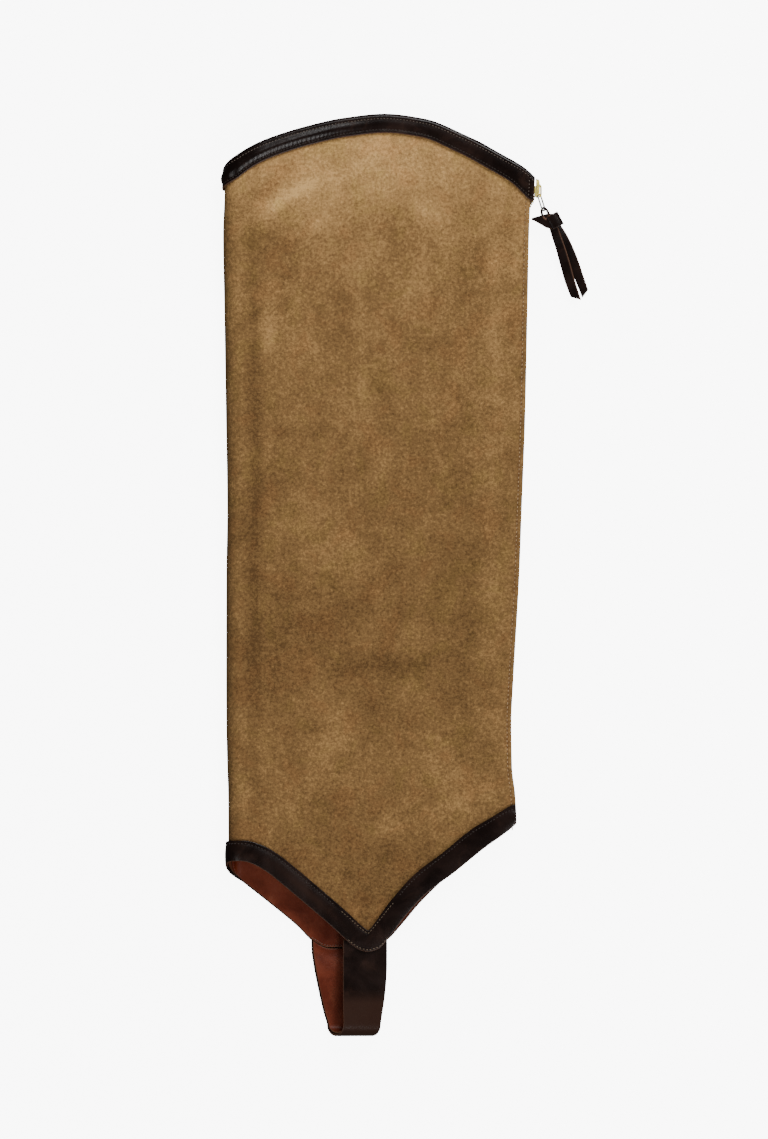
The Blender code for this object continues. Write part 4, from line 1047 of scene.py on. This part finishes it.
# %% Thong: eye, knot and tails
TAIL_THICKNESS = 1.6
KNOT_THICKNESS = 1.3
LEFT_TAIL = [
    # across, height, up, width
    (181.4, 447.5, 7.2, 5.0), (183.4, 441.0, 6.4, 5.3), (185.8, 434.0, 5.2, 5.5),
    (188.6, 424.5, 4.1, 5.8), (191.0, 415.8, 3.6, 5.8), (194.5, 405.7, 3.4, 5.2), (195.6, 402.7, 3.4, 5.0),
]
RIGHT_TAIL = [
    (183.0, 447.0, 6.0, 5.0), (187.0, 440.5, 4.2, 5.2), (190.1, 434.0, 2.9, 5.5),
    (193.4, 425.5, 1.6, 5.7), (196.5, 416.5, 1.2, 5.5), (199.6, 408.3, 1.1, 5.0), (200.7, 405.3, 1.1, 5.0),
]
LINK_FAR = link_place + LINK_LENGTH * link_along


def tail(name, stations, pale, slant):
    """A flat tail along its stations, its width level; its end is cut aslant, so each side has its own length."""
    line, way = resample(np.array(stations), 60)

    def slanted(share, ways):
        return slant * share * ease(ways[-1] - 7.0, ways[-1], ways)[None, :]

    side = points_at(line[:, 3] / 2, 0.0, 0.0)
    return ribbon(
        name, line[:, :3], side, TAIL_THICKNESS, ripple=0.05, pale=pale, edge=0.8,
        ways=np.linspace(0.0, way[-1] - 3.0, 60), longer=slanted,
    )


left_tail = tail("left_tail", LEFT_TAIL, (1.0, 0.1), 0.9)
right_tail = tail("right_tail", RIGHT_TAIL, (0.8, 0.1), -2.4)
print("a tail's cells:", cells_in(left_tail))

# The eye is the thong's loop round the link's far wire: a long oval on edge, its two ends held in the knot.
eye_turn = np.linspace(-0.5 * pi, 1.5 * pi, 49)[2:-2]
eye_middle = LINK_FAR + 1.6 * link_along
eye_path = eye_middle - 3.1 * np.sin(eye_turn)[:, None] * link_along + 1.75 * np.cos(eye_turn)[:, None] * link_side
eye_path = eye_path + np.array([0.25, -0.15, 0.0]) * (1 - np.sin(eye_turn))[:, None]
eye_width = np.repeat([[0.0, 0.0, 1.85]], len(eye_path), axis=0)
eye_pale = 0.15 + 0.7 * ease(-0.1, 0.7, -np.sin(eye_turn))
thong_eye = ribbon("thong_eye", eye_path, eye_width, KNOT_THICKNESS, count=7, pale=(eye_pale, 0.3), edge=0.7)


# The knot is a band wound once round the thong: an ellipse on edge, its two ends meeting below, its width aslant.
KNOT_CENTRE, KNOT_SLANT = np.array([182.6, 448.2, link_up]), np.radians(-62)
KNOT_HALF_ACROSS, KNOT_HALF_UP, KNOT_HALF_WIDTH = 3.3, 2.0, 3.9
knot_turn = np.linspace(-0.5 * pi, 1.5 * pi, 65)
knot_shape = [np.sign(wave) * np.abs(wave) ** 0.8 for wave in (np.cos(knot_turn), np.sin(knot_turn))]
knot_across = np.array([-np.sin(KNOT_SLANT), np.cos(KNOT_SLANT), 0.0])
knot_path = KNOT_CENTRE + KNOT_HALF_ACROSS * knot_shape[0][:, None] * knot_across
knot_path = knot_path + KNOT_HALF_UP * knot_shape[1][:, None] * np.array([0.0, 0.0, 1.0])
knot_side = np.tile(-KNOT_HALF_WIDTH * np.array([np.cos(KNOT_SLANT), np.sin(KNOT_SLANT), 0.0]), (len(knot_turn), 1))
knot_loop = ribbon("knot_loop", knot_path, knot_side, KNOT_THICKNESS, pale=(1.0, 0.6))

# The flap is the strip folded back on itself at the knot's left: narrow at the fold, wide where the band holds it.
FLAP_HEIGHT, FLAP_LIFT = 449.2, 1.15
flap_turn = np.linspace(-0.5 * pi, 0.5 * pi, 15)
flap_bend = points_at(171.9 - 1.1 * np.cos(flap_turn), FLAP_HEIGHT, link_up + 1.05 * np.sin(flap_turn))
flap_right = np.linspace(183.0, 172.4, 16)
flap_height = FLAP_HEIGHT - 1.5 * ((flap_right - 172.0) / 11.0)
flap_low = points_at(flap_right, flap_height, link_up - FLAP_LIFT)
flap_high = points_at(flap_right, flap_height, link_up + FLAP_LIFT)[::-1]
flap_path = np.concatenate([flap_low, flap_bend, flap_high])
flap_half = np.clip(0.7 + 0.42 * (flap_path[:, 0] - 170.9), 0.7, 4.1)
flap_side = points_at(0.1 * flap_half, flap_half, 0.0)
knot_flap = ribbon("knot_flap", flap_path, -flap_side, KNOT_THICKNESS, pale=(0.9, 0.15))
print("thong:", cells_in(left_tail, right_tail, thong_eye, knot_loop, knot_flap), "cells")

# %% [markdown]
# ## Stitches
# Every seam is a row of short threads that dive into the leather at both ends. One stitch is a small arched capsule
# with a few dozen faces. Its points are copied to every place on a seam at once, each copy turned along the seam and
# onto the leather's surface, with small seeded differences in length and aim, as a hand-guided machine leaves them.
# Instancing on a curve would do the same, but joined meshes keep each seam one piece.


# %% Seam lines and stitches
def seam_line(face, way, target):
    """Where a line at this distance along the rows crosses each column of a face grid, and the outward direction."""
    index = np.clip((way < target).sum(axis=0) - 1, 0, len(way) - 2)
    column = np.arange(way.shape[1])
    t = ((target - way[index, column]) / (way[index + 1, column] - way[index, column]))[:, None]
    line = face[index, column] * (1 - t) + face[index + 1, column] * t
    rows = face[index + 1, column] - face[index, column]
    out = unit(np.cross(rows, np.gradient(line, axis=0)))
    return line, out


def places_along(line, pitch, clear):
    """Even places on a polyline, pitch apart, clear of its ends: each as (index below, share to the next point)."""
    way = way_along(line)
    count = int((way[-1] - 2 * clear) / pitch)
    at = clear + pitch * (np.arange(count) + 0.5)
    index = np.clip(np.searchsorted(way, at) - 1, 0, len(way) - 2)
    return index, ((at - way[index]) / (way[index + 1] - way[index]))[:, None]


def stitch_shape(length, radius):
    """A capsule along y, bent down at its ends: six rings of six points, closed by two cells at either end."""
    rings = sides = 6
    t = np.linspace(-1, 1, rings)
    along = t * length / 2
    narrow = np.sqrt(np.clip(1 - 0.85 * np.abs(t) ** 3, 0.15, 1)) * radius
    up = 0.55 * radius - 2.6 * radius * np.abs(t) ** 3
    turn = np.linspace(0, 2 * pi, sides, endpoint=False)
    x = narrow[:, None] * np.cos(turn)
    z = up[:, None] + narrow[:, None] * np.sin(turn)
    points = points_at(x, along[:, None], z).reshape(-1, 3)
    r, c = np.meshgrid(np.arange(rings - 1), np.arange(sides), indexing="ij")
    c2 = (c + 1) % sides
    quads = np.stack([r * sides + c, (r + 1) * sides + c, (r + 1) * sides + c2, r * sides + c2], axis=-1).reshape(-1, 4)
    last = (rings - 1) * sides
    caps = [[0, 1, 2, 3], [0, 3, 4, 5], [last, last + 3, last + 2, last + 1], [last, last + 5, last + 4, last + 3]]
    return points, np.concatenate([quads, caps])


def stitches(name, lines, pitch, length, radius, seed, slant, clear):
    """Stitches along several seam lines (points, outward directions), joined in one mesh."""
    rng = np.random.default_rng(seed)
    points, quads = stitch_shape(length, radius)
    all_points = []
    for line, out in lines:
        index, t = places_along(line, pitch, clear)
        centre = line[index] * (1 - t) + line[index + 1] * t
        up = unit(out[index] * (1 - t) + out[index + 1] * t)
        along = unit(line[index + 1] - line[index])
        side = unit(np.cross(along, up))
        aim = slant + rng.normal(0, 0.06, len(centre))[:, None]
        along, side = along * np.cos(aim) + side * np.sin(aim), side * np.cos(aim) - along * np.sin(aim)
        size = rng.uniform(0.88, 1.08, len(centre))[:, None]
        sink = rng.uniform(-0.06, 0.04, len(centre))[:, None]
        axes = np.stack([side, along * size, up], axis=1)
        all_points.append(np.einsum("pk,nkd->npd", points, axes) + (centre + up * sink)[:, None])
    placed = np.concatenate(all_points)
    all_quads = quads[None] + (np.arange(len(placed)) * len(points))[:, None, None]
    made = set_up_mesh(name, placed.reshape(-1, 3), all_quads.reshape(-1, 4), None, {})
    print(f"{name}: {len(placed)} stitches, {cells_in(made)} cells")
    return made


print("points in one stitch:", len(stitch_shape(TOP_STITCH_PITCH, 0.2)[0]))

# %% Rows of stitches
lower_row = seam_line(top_outer, top_way, TOP_LOWER_ROW)
upper_row = seam_line(top_outer, top_way, (front_width - TOP_UPPER_ROW)[0])
end_column = int(np.argmin(np.abs((top_s + BAND_OVERHANG) * LAYER_WIDTH - END_ROW)))
end_rows = (top_way[:, end_column] > 0.9) & (top_way[:, end_column] < front_width[0, end_column] - 0.2)
end_line = top_outer[end_rows, end_column]
end_out = unit(np.cross(np.gradient(end_line, axis=0), top_outer[end_rows, end_column + 1] - end_line))

TIP_GIRTH, TIP_REACH = 79.0, 16.0
hem_row = seam_line(hem_outer[::-1, ::-1], hem_down[::-1, ::-1], HEM_STITCH_INSET)
by_tip = np.abs(girth_of(hem_s[::-1], TIP_START) - TIP_GIRTH) < TIP_REACH
cut = np.flatnonzero(by_tip)[[0, -1]]
pieces_of_row = [slice(0, cut[0]), slice(cut[1] + 1, None)]
hem_rows = [(hem_row[0][part], hem_row[1][part]) for part in pieces_of_row]
tab_s = share_of(np.linspace(67.0, 91.0, 60), TIP_START)
tab_height = line_height(HEM_LINE, tab_s, TIP_START) + 1.1
tab_row = (on_wrap(tab_s, tab_height, hem_off + HEM_BANDING / 2 + 0.10), wrap_normal(tab_s, tab_height))
tip_row = (hem_row[0][by_tip], hem_row[1][by_tip])
ZIP_SEAM_FOOT = 112.0


def zip_seam(side):
    """The seam beside one zip edge: a line ZIP_STITCH_INSET in, from above the hem band to under the top band."""
    height = np.linspace(ZIP_SEAM_FOOT, TAPE_HEAD, 240)
    share = ZIP_STITCH_INSET / flat_width(height)
    s = share if side > 0 else 3 - share
    line = on_wrap(s, height, SUEDE / 2 + suede_relief(s, height))
    return line, wrap_normal(s, height)


facing_tip_s = share_of(np.linspace(-47.5, -80.0, 60), TIP_START)
facing_tip_height = np.interp(facing_tip_s, facing_s, facing_low) + 1.0
facing_line = on_wrap(facing_tip_s, facing_tip_height, facing_off - FACING / 2)
facing_row = (facing_line, -wrap_normal(facing_tip_s, facing_tip_height))
SEAMS = [
    # name, seam lines, pitch, a stitch's length and radius, seed, slant, how far clear of the seam's ends
    ("end_stitches", [(end_line, end_out)], 1.9, 1.35, 0.17, 4, 0.0, 0.3),
    ("top_lower_stitches", [lower_row], TOP_STITCH_PITCH, 1.35, 0.17, 3, 0.0, 1.0),
    ("top_upper_stitches", [upper_row], TOP_STITCH_PITCH, 1.35, 0.17, 5, 0.0, 1.0),
    ("hem_stitches", hem_rows, HEM_STITCH_PITCH, 1.4, 0.19, 7, 0.0, 1.0),
    ("tip_stitches", [tip_row, tab_row], 1.9, 1.5, 0.23, 8, 0.0, 1.0),
    ("facing_stitches", [facing_row], 1.5, 1.15, 0.17, 9, 0.0, 1.0),
    ("zip_stitches", [zip_seam(1), zip_seam(-1)], 2.3, 1.75, 0.24, 11, 0.05, 1.0),
]
end_stitches, top_lower_stitches, top_upper_stitches, *other_stitches = [stitches(*seam) for seam in SEAMS]
hem_stitches, tip_stitches, facing_stitches, zip_stitches = other_stitches

# %% [markdown]
# ## Finishes
# Suede is leather with its nap raised. It scatters light, looks darker where the nap is stroked one way and paler where
# it lies the other, and has tiny fibres and a few scuffs. Here the suede's tone also carries painted light and shade up
# the leg, painted shade down the fold and partly painted light beside the zip. Smooth leather has a fine pebbled grain,
# a soft shine and pale raw edges, and the hem band has a painted sheen in the middle of its left branch. Each finish
# reads the piece's own coordinates, with noise at several sizes. Painted image textures would show the same, but they
# would need files and a fixed resolution.


# %% Node helper
class Finish:
    """A material whose nodes are added one by one; links are made by passing an output as an input's value."""

    def __init__(self, name):
        self.material = bpy.data.materials.new(name)
        self.material.use_nodes = True
        self.nodes = self.material.node_tree.nodes
        self.links = self.material.node_tree.links
        self.leather = self.nodes["Principled BSDF"]

    def add(self, kind, settings=(), **inputs):
        """A node of this kind with its settings. Inputs go by name, or by number as in_0: a value or an output."""
        node = self.nodes.new("ShaderNode" + kind)
        for key, value in dict(settings).items():
            setattr(node, key, value)
        for key, value in inputs.items():
            socket = node.inputs[int(key[3:])] if key.startswith("in_") else node.inputs[key.replace("_", " ")]
            self.fill(socket, value)
        return node

    def fill(self, socket, value):
        """Links an output to this socket, or sets its value; a colour gets its alpha."""
        if isinstance(value, bpy.types.NodeSocket):
            self.links.new(value, socket)
        elif isinstance(value, tuple) and socket.type == "RGBA":
            socket.default_value = (*value, 1.0)
        else:
            socket.default_value = value

    def surface(self, **inputs):
        """The main shader's inputs, by name with underscores for spaces."""
        for key, value in inputs.items():
            self.fill(self.leather.inputs[key.replace("_", " ")], value)

    def noise(self, scale, detail=3.0, roughness=0.55, vector=None, distortion=0.0):
        """Noise from 0 to 1 on the object's own coordinates, or on the vector given."""
        place = vector or self.add("TexCoord").outputs["Object"]
        shape = {"Scale": scale, "Detail": detail, "Roughness": roughness, "Distortion": distortion}
        return self.add("TexNoise", Vector=place, **shape).outputs[0]

    def stretched(self, scale, turn=0.0):
        """The object's coordinates scaled by (x, y, z) and turned about z, for streaks."""
        place = self.add("TexCoord").outputs["Object"]
        return self.add("Mapping", Vector=place, Rotation=(0.0, 0.0, turn), Scale=scale).outputs[0]

    def pattern(self, scale):
        """The piece's own flat pattern in metres, scaled."""
        flat = self.add("UVMap", {"uv_map": "pattern"}).outputs[0]
        return self.add("Mapping", Vector=flat, Scale=scale).outputs[0]

    def read(self, name):
        """A value kept on the mesh's points, such as rim or tone."""
        return self.add("Attribute", {"attribute_name": name}).outputs["Fac"]

    def sums(self, operation, a, b=0.0, c=0.0, clamp=False):
        """One arithmetic step, such as ADD, MULTIPLY or MULTIPLY_ADD."""
        made = self.add("Math", {"operation": operation, "use_clamp": clamp}, in_0=a, in_1=b)
        if operation == "MULTIPLY_ADD":
            self.fill(made.inputs[2], c)
        return made.outputs[0]

    def times(self, a, b):
        """One value or output times another."""
        return self.sums("MULTIPLY", a, b)

    def centred(self, value):
        """Noise of 0 to 1 moved to -0.5 to 0.5."""
        return self.sums("SUBTRACT", value, 0.5)

    def between(self, value, low, high, to_low=0.0, to_high=1.0):
        """The value taken from low..high to to_low..to_high, smoothly and clamped."""
        settings = {"interpolation_type": "SMOOTHSTEP"}
        made = self.add("MapRange", settings, Value=value, From_Min=low, From_Max=high, To_Min=to_low, To_Max=to_high)
        return made.outputs[0]

    def mix(self, share, a, b, blend="MIX"):
        """Colour a where the share is 0 and b where it is 1."""
        made = self.add("Mix", {"data_type": "RGBA", "blend_type": blend}, in_0=share, in_6=a, in_7=b)
        return made.outputs[2]

    def ramp(self, value, stops):
        """A colour for each value: stops of (place, colour)."""
        made = self.add("ValToRGB", Fac=value)
        elements = made.color_ramp.elements
        while len(elements) < len(stops):
            elements.new(0.5)
        for element, (place, colour) in zip(elements, stops):
            element.position = place
            element.color = (*colour, 1.0)
        return made.outputs[0]

    def bump(self, height, distance, strength=1.0, under=None):
        """A bump from this height, on top of another bump if one is given."""
        made = self.add("Bump", Height=height, Distance=distance, Strength=strength)
        if under is not None:
            self.links.new(under, made.inputs["Normal"])
        return made.outputs[0]


print("finish helper ready")

# %% Suede
SUEDE_DARK = (0.105, 0.054, 0.019)
SUEDE_MIDDLE = (0.240, 0.132, 0.048)
SUEDE_LIGHT = (0.460, 0.262, 0.098)
SUEDE_PALE = (0.720, 0.430, 0.160)


def suede_finish():
    """Tone from the mesh plus clouds, grain and curls, through a ramp of four tans; olive and red tints; pale sheen."""
    f = Finish("suede")
    clouds = f.centred(f.noise(30.0, 5.0, 0.60, distortion=0.8))
    patches = f.centred(f.noise(105.0, 4.0, 0.6, distortion=0.5))
    streaks = f.centred(f.noise(1.0, 4.0, 0.6, f.stretched((150.0, 42.0, 60.0), 0.35)))
    grain = f.centred(f.noise(640.0, 2.0, 0.6))
    fine = f.centred(f.noise(1500.0, 2.0, 0.6))
    curls = f.between(f.noise(330.0, 2.0, 0.5, distortion=2.6), 0.56, 0.70)
    # The mesh's tone carries the nap's marks together with painted light and shade.
    tone = f.sums("MULTIPLY_ADD", f.read("tone"), 0.24, 0.49)
    parts = ((clouds, 0.48), (patches, 0.27), (streaks, 0.20), (grain, 0.78), (fine, 0.50), (curls, 0.08))
    for part, weight in parts:
        tone = f.sums("MULTIPLY_ADD", part, weight, tone)
    colour = f.ramp(tone, [(0.10, SUEDE_DARK), (0.45, SUEDE_MIDDLE), (0.75, SUEDE_LIGHT), (1.0, SUEDE_PALE)])
    hue = f.noise(62.0, 3.0, 0.55, distortion=0.4)
    colour = f.mix(f.between(hue, 0.52, 0.68), colour, (0.965, 1.0, 0.92), "MULTIPLY")
    colour = f.mix(f.between(hue, 0.48, 0.34), colour, (1.02, 0.965, 0.95), "MULTIPLY")
    colour = f.mix(f.times(f.read("rim"), 0.5), colour, (0.30, 0.18, 0.085))
    # Darker near the leg's cut ends and in a thin line along each zip seam, as the mesh gives it.
    colour = f.mix(f.read("stain"), colour, (0.078, 0.021, 0.009))
    coarse = f.bump(f.noise(260.0, 4.0, 0.6), 0.00025, 0.5)
    nap = f.bump(f.noise(900.0, 3.0, 0.7, distortion=1.0), 0.00022, 0.8, coarse)
    f.surface(Base_Color=colour, Roughness=0.95, Normal=nap, Sheen_Weight=0.12, Sheen_Roughness=0.5)
    f.surface(Sheen_Tint=(0.95, 0.74, 0.48), Specular_IOR_Level=0.15)
    return f.material


print("the suede's tans go from", SUEDE_DARK, "to", SUEDE_PALE)


# %% Smooth leather
def smooth_leather(name, dark, base, worn_and_sheen, edge, roughness):
    """Fine grain as cells broken by noise, soft clouds of wear, a paler cut rim, and a soft shine."""
    f = Finish(name)
    clouds = f.noise(48.0, 5.0, 0.6, distortion=0.5)
    fine = f.noise(900.0, 3.0, 0.6)
    cells = f.add("TexVoronoi", {"feature": "DISTANCE_TO_EDGE"}, Scale=1700.0, Vector=f.stretched((1.0, 1.0, 1.0)))
    pebbles = f.between(cells.outputs[0], 0.0, 0.35)
    colour = f.mix(f.between(clouds, 0.32, 0.66), dark, base)
    wear = f.between(f.noise(95.0, 4.0, 0.65, distortion=0.8), 0.50, 0.80)
    colour = f.mix(f.times(wear, 0.6), colour, worn_and_sheen)
    # The mesh's tone mixes towards this colour: rubbed wear at the strap's bend, and a painted sheen on the hem band.
    colour = f.mix(f.times(f.read("tone"), 0.75), colour, worn_and_sheen)
    colour = f.mix(f.times(f.sums("SUBTRACT", 1.0, pebbles), 0.18), colour, dark)
    rim_share = f.times(f.between(f.read("rim"), 0.25, 0.8), f.between(fine, 0.2, 0.7, 0.55, 1.0))
    colour = f.mix(rim_share, colour, edge)
    rough = f.sums("MULTIPLY_ADD", f.centred(clouds), 0.30, roughness)
    rough = f.sums("MULTIPLY_ADD", rim_share, 0.3, rough, clamp=True)
    creases = f.bump(f.noise(1.0, 3.0, 0.5, f.stretched((190.0, 110.0, 150.0), 0.6)), 0.0005, 0.30)
    normal = f.bump(pebbles, 0.00003, 0.5, creases)
    f.surface(Base_Color=colour, Roughness=rough, Normal=normal, Specular_IOR_Level=0.3)
    return f.material


DARK_LEATHER = smooth_leather(
    "dark_leather", (0.005, 0.0020, 0.0014), (0.015, 0.0060, 0.0042), (0.040, 0.018, 0.012), (0.125, 0.058, 0.034), 0.30
)
RUSSET_LEATHER = smooth_leather(
    "russet_leather", (0.085, 0.011, 0.003), (0.180, 0.032, 0.011), (0.250, 0.070, 0.032), (0.170, 0.075, 0.035), 0.40
)
SUEDE_FINISH = suede_finish()
print("leather finishes:", [finish.name for finish in (DARK_LEATHER, RUSSET_LEATHER, SUEDE_FINISH)])


# %% Woven tape
def tape_finish():
    """A dark red-brown weave: waves along the tape times waves across it, on its flat pattern, and some fluff."""
    f = Finish("zip_tape")
    waves = []
    for direction, scale in (("Y", 170.0), ("X", 260.0)):
        flat = f.pattern((1.0, 1.0, 1.0))
        waves.append(f.add("TexWave", {"bands_direction": direction}, Vector=flat, Scale=scale, Distortion=1.0))
    weave = f.times(waves[0].outputs[1], waves[1].outputs[1])
    colour = f.mix(weave, (0.022, 0.008, 0.005), (0.085, 0.030, 0.018))
    colour = f.mix(f.times(f.noise(140.0, 4.0), 0.35), colour, (0.12, 0.06, 0.04))
    f.surface(Base_Color=colour, Roughness=0.85, Normal=f.bump(weave, 0.0002, 0.7), Sheen_Weight=0.2)
    return f.material


TAPE_FINISH = tape_finish()
print("the tape's nodes:", len(TAPE_FINISH.node_tree.nodes))

# %% Metals
TARNISH = 0.5


def metal(name, light, dark, roughness):
    """A metal with tarnish clouds in its colour and gloss, and fine scratches as bump."""
    f = Finish(name)
    clouds = f.between(f.noise(420.0, 5.0, 0.65), 0.4, 0.75)
    scratches = f.noise(1.0, 2.0, 0.5, f.stretched((900.0, 5000.0, 900.0), 0.4))
    colour = f.mix(f.times(clouds, TARNISH), light, dark)
    rough = f.sums("MULTIPLY_ADD", clouds, 0.22, roughness)
    f.surface(Base_Color=colour, Metallic=1.0, Roughness=rough, Normal=f.bump(scratches, 0.00004, 0.5))
    return f.material


ZIP_BRASS = metal("zip_brass", (1.0, 0.86, 0.26), (0.90, 0.62, 0.12), 0.50)
STOP_METAL = metal("stop_metal", (0.24, 0.24, 0.23), (0.10, 0.10, 0.10), 0.38)
PULL_PLATE = metal("pull_plate", (0.66, 0.64, 0.60), (0.34, 0.29, 0.20), 0.30)
print("metals:", [finish.name for finish in (ZIP_BRASS, STOP_METAL, PULL_PLATE)])


# %% Thread
def thread_finish(name, dark, light):
    """Dull thread: a fine fuzz of noise, and broad patches of darker and lighter dye."""
    f = Finish(name)
    fuzz = f.noise(1.0, 3.0, 0.7, f.stretched((2400.0, 2400.0, 2400.0)))
    shade = f.noise(90.0, 3.0, 0.6)
    colour = f.mix(f.sums("MULTIPLY_ADD", shade, 0.7, f.times(fuzz, 0.4)), dark, light)
    f.surface(Base_Color=colour, Roughness=0.8, Normal=f.bump(fuzz, 0.00005, 0.8), Sheen_Weight=0.2)
    return f.material


TAN_THREAD = thread_finish("tan_thread", (0.22, 0.125, 0.050), (0.66, 0.45, 0.22))
BROWN_THREAD = thread_finish("brown_thread", (0.010, 0.006, 0.005), (0.060, 0.038, 0.028))
TIP_THREAD = thread_finish("tip_thread", (0.040, 0.024, 0.014), (0.220, 0.150, 0.085))
EDGE_THREAD = thread_finish("edge_thread", (0.050, 0.036, 0.028), (0.230, 0.175, 0.135))
print("finishes:", len(bpy.data.materials))

# %% [markdown]
# ## Handing the pieces over
# Each piece rides on the gaiter, or on the pull where it swings with the link. It stands for the solid of the same
# part, which is hidden, and takes the finish listed beside it. A table lists each cloth piece's flat cut, and its area
# is printed.
# We could hide the solids and keep them in the scene, but then a moved pose would need both to agree.

# %% Bodies, solids and slots
PIECES = [
    # piece, body, solid, slot, finish
    (suede_leg, "gaiter", "suede_wrap", "suede", SUEDE_FINISH),
    (top_strip, "gaiter", "top_band", "dark_leather", DARK_LEATHER),
    (hem_strip, "gaiter", "hem_band", "dark_leather", DARK_LEATHER),
    (facing_strip, "gaiter", "hem_facing", "russet_leather", RUSSET_LEATHER),
    (strap_dark, "gaiter", "strap_outer", "dark_leather", DARK_LEATHER),
    (strap_russet, "gaiter", "strap_lining", "russet_leather", RUSSET_LEATHER),
    (tape_front, "gaiter", "zip_tape_front", "zip_tape", TAPE_FINISH),
    (tape_back, "gaiter", "zip_tape_back", "zip_tape", TAPE_FINISH),
    (zip_teeth, "gaiter", "zip_chain", "zip_brass", ZIP_BRASS),
    (stop_block, "gaiter", "zip_stop", "stop_metal", STOP_METAL),
    (slider_face, "gaiter", "zip_slider", "zip_brass", ZIP_BRASS),
    (slider_back, "gaiter", None, "zip_brass", ZIP_BRASS),
    (slider_wedge, "gaiter", None, "zip_brass", ZIP_BRASS),
    (slider_rails, "gaiter", None, "zip_brass", ZIP_BRASS),
    (slider_crown, "gaiter", None, "zip_brass", ZIP_BRASS),
    (slider_bail, "gaiter", None, "zip_brass", ZIP_BRASS),
    (link_ring, "pull", "pull_link", "pull_plate", PULL_PLATE),
    (left_tail, "pull", "pull_thong", "dark_leather", DARK_LEATHER),
    (right_tail, "pull", None, "dark_leather", DARK_LEATHER),
    (thong_eye, "pull", None, "dark_leather", DARK_LEATHER),
    (knot_loop, "pull", None, "dark_leather", DARK_LEATHER),
    (knot_flap, "pull", None, "dark_leather", DARK_LEATHER),
    (top_lower_stitches, "gaiter", None, "dark_leather", BROWN_THREAD),
    (top_upper_stitches, "gaiter", None, "dark_leather", EDGE_THREAD),
    (end_stitches, "gaiter", None, "dark_leather", EDGE_THREAD),
    (hem_stitches, "gaiter", None, "dark_leather", BROWN_THREAD),
    (tip_stitches, "gaiter", None, "dark_leather", TIP_THREAD),
    (facing_stitches, "gaiter", None, "russet_leather", EDGE_THREAD),
    (zip_stitches, "gaiter", None, "suede", TAN_THREAD),
]
for piece, body, solid, slot_name, finish in PIECES:
    piece.data.materials.append(finish)
    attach(piece, body)
    if solid:
        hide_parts(solid)
print("pieces:", len(PIECES))


# %% Flat cuts
def half_area(piece):
    """Half the area of a closed wall, in square metres: the area of the sheet it stands for."""
    areas = np.empty(len(piece.data.polygons), np.float32)
    piece.data.polygons.foreach_get("area", areas)
    return float(areas.sum()) / 2


CUTS = [
    # piece, held, rests on, width and length of the flat cut, its share of that rectangle, pieces sewn on it
    (suede_leg, "folded", ["floor"], 0.352, 0.462, 0.845, [zip_stitches]),
    (top_strip, "folded", ["suede_leg"], 0.022, 0.372, 1.0, [top_lower_stitches, top_upper_stitches, end_stitches]),
    (hem_strip, "folded", ["suede_leg"], 0.012, 0.409, 1.0, [hem_stitches, tip_stitches]),
    (facing_strip, "folded", ["suede_leg"], 0.026, 0.352, 1.0, [facing_stitches]),
    (strap_dark, "folded", ["suede_leg"], 0.0245, 0.110, 1.0, []),
    (strap_russet, "folded", ["strap_dark"], 0.0245, 0.095, 0.95, []),
    (tape_front, "laid", ["suede_leg"], 0.014, 0.3345, 1.0, []),
    (tape_back, "laid", ["suede_leg"], 0.014, 0.3345, 1.0, []),
]
for piece, held, rests_on, width, length, share, others in CUTS:
    cut_area = share * width * length
    print(f"{piece.name}: sheet {10000 * half_area(piece):.1f} cm2, cut {10000 * cut_area:.1f} cm2")
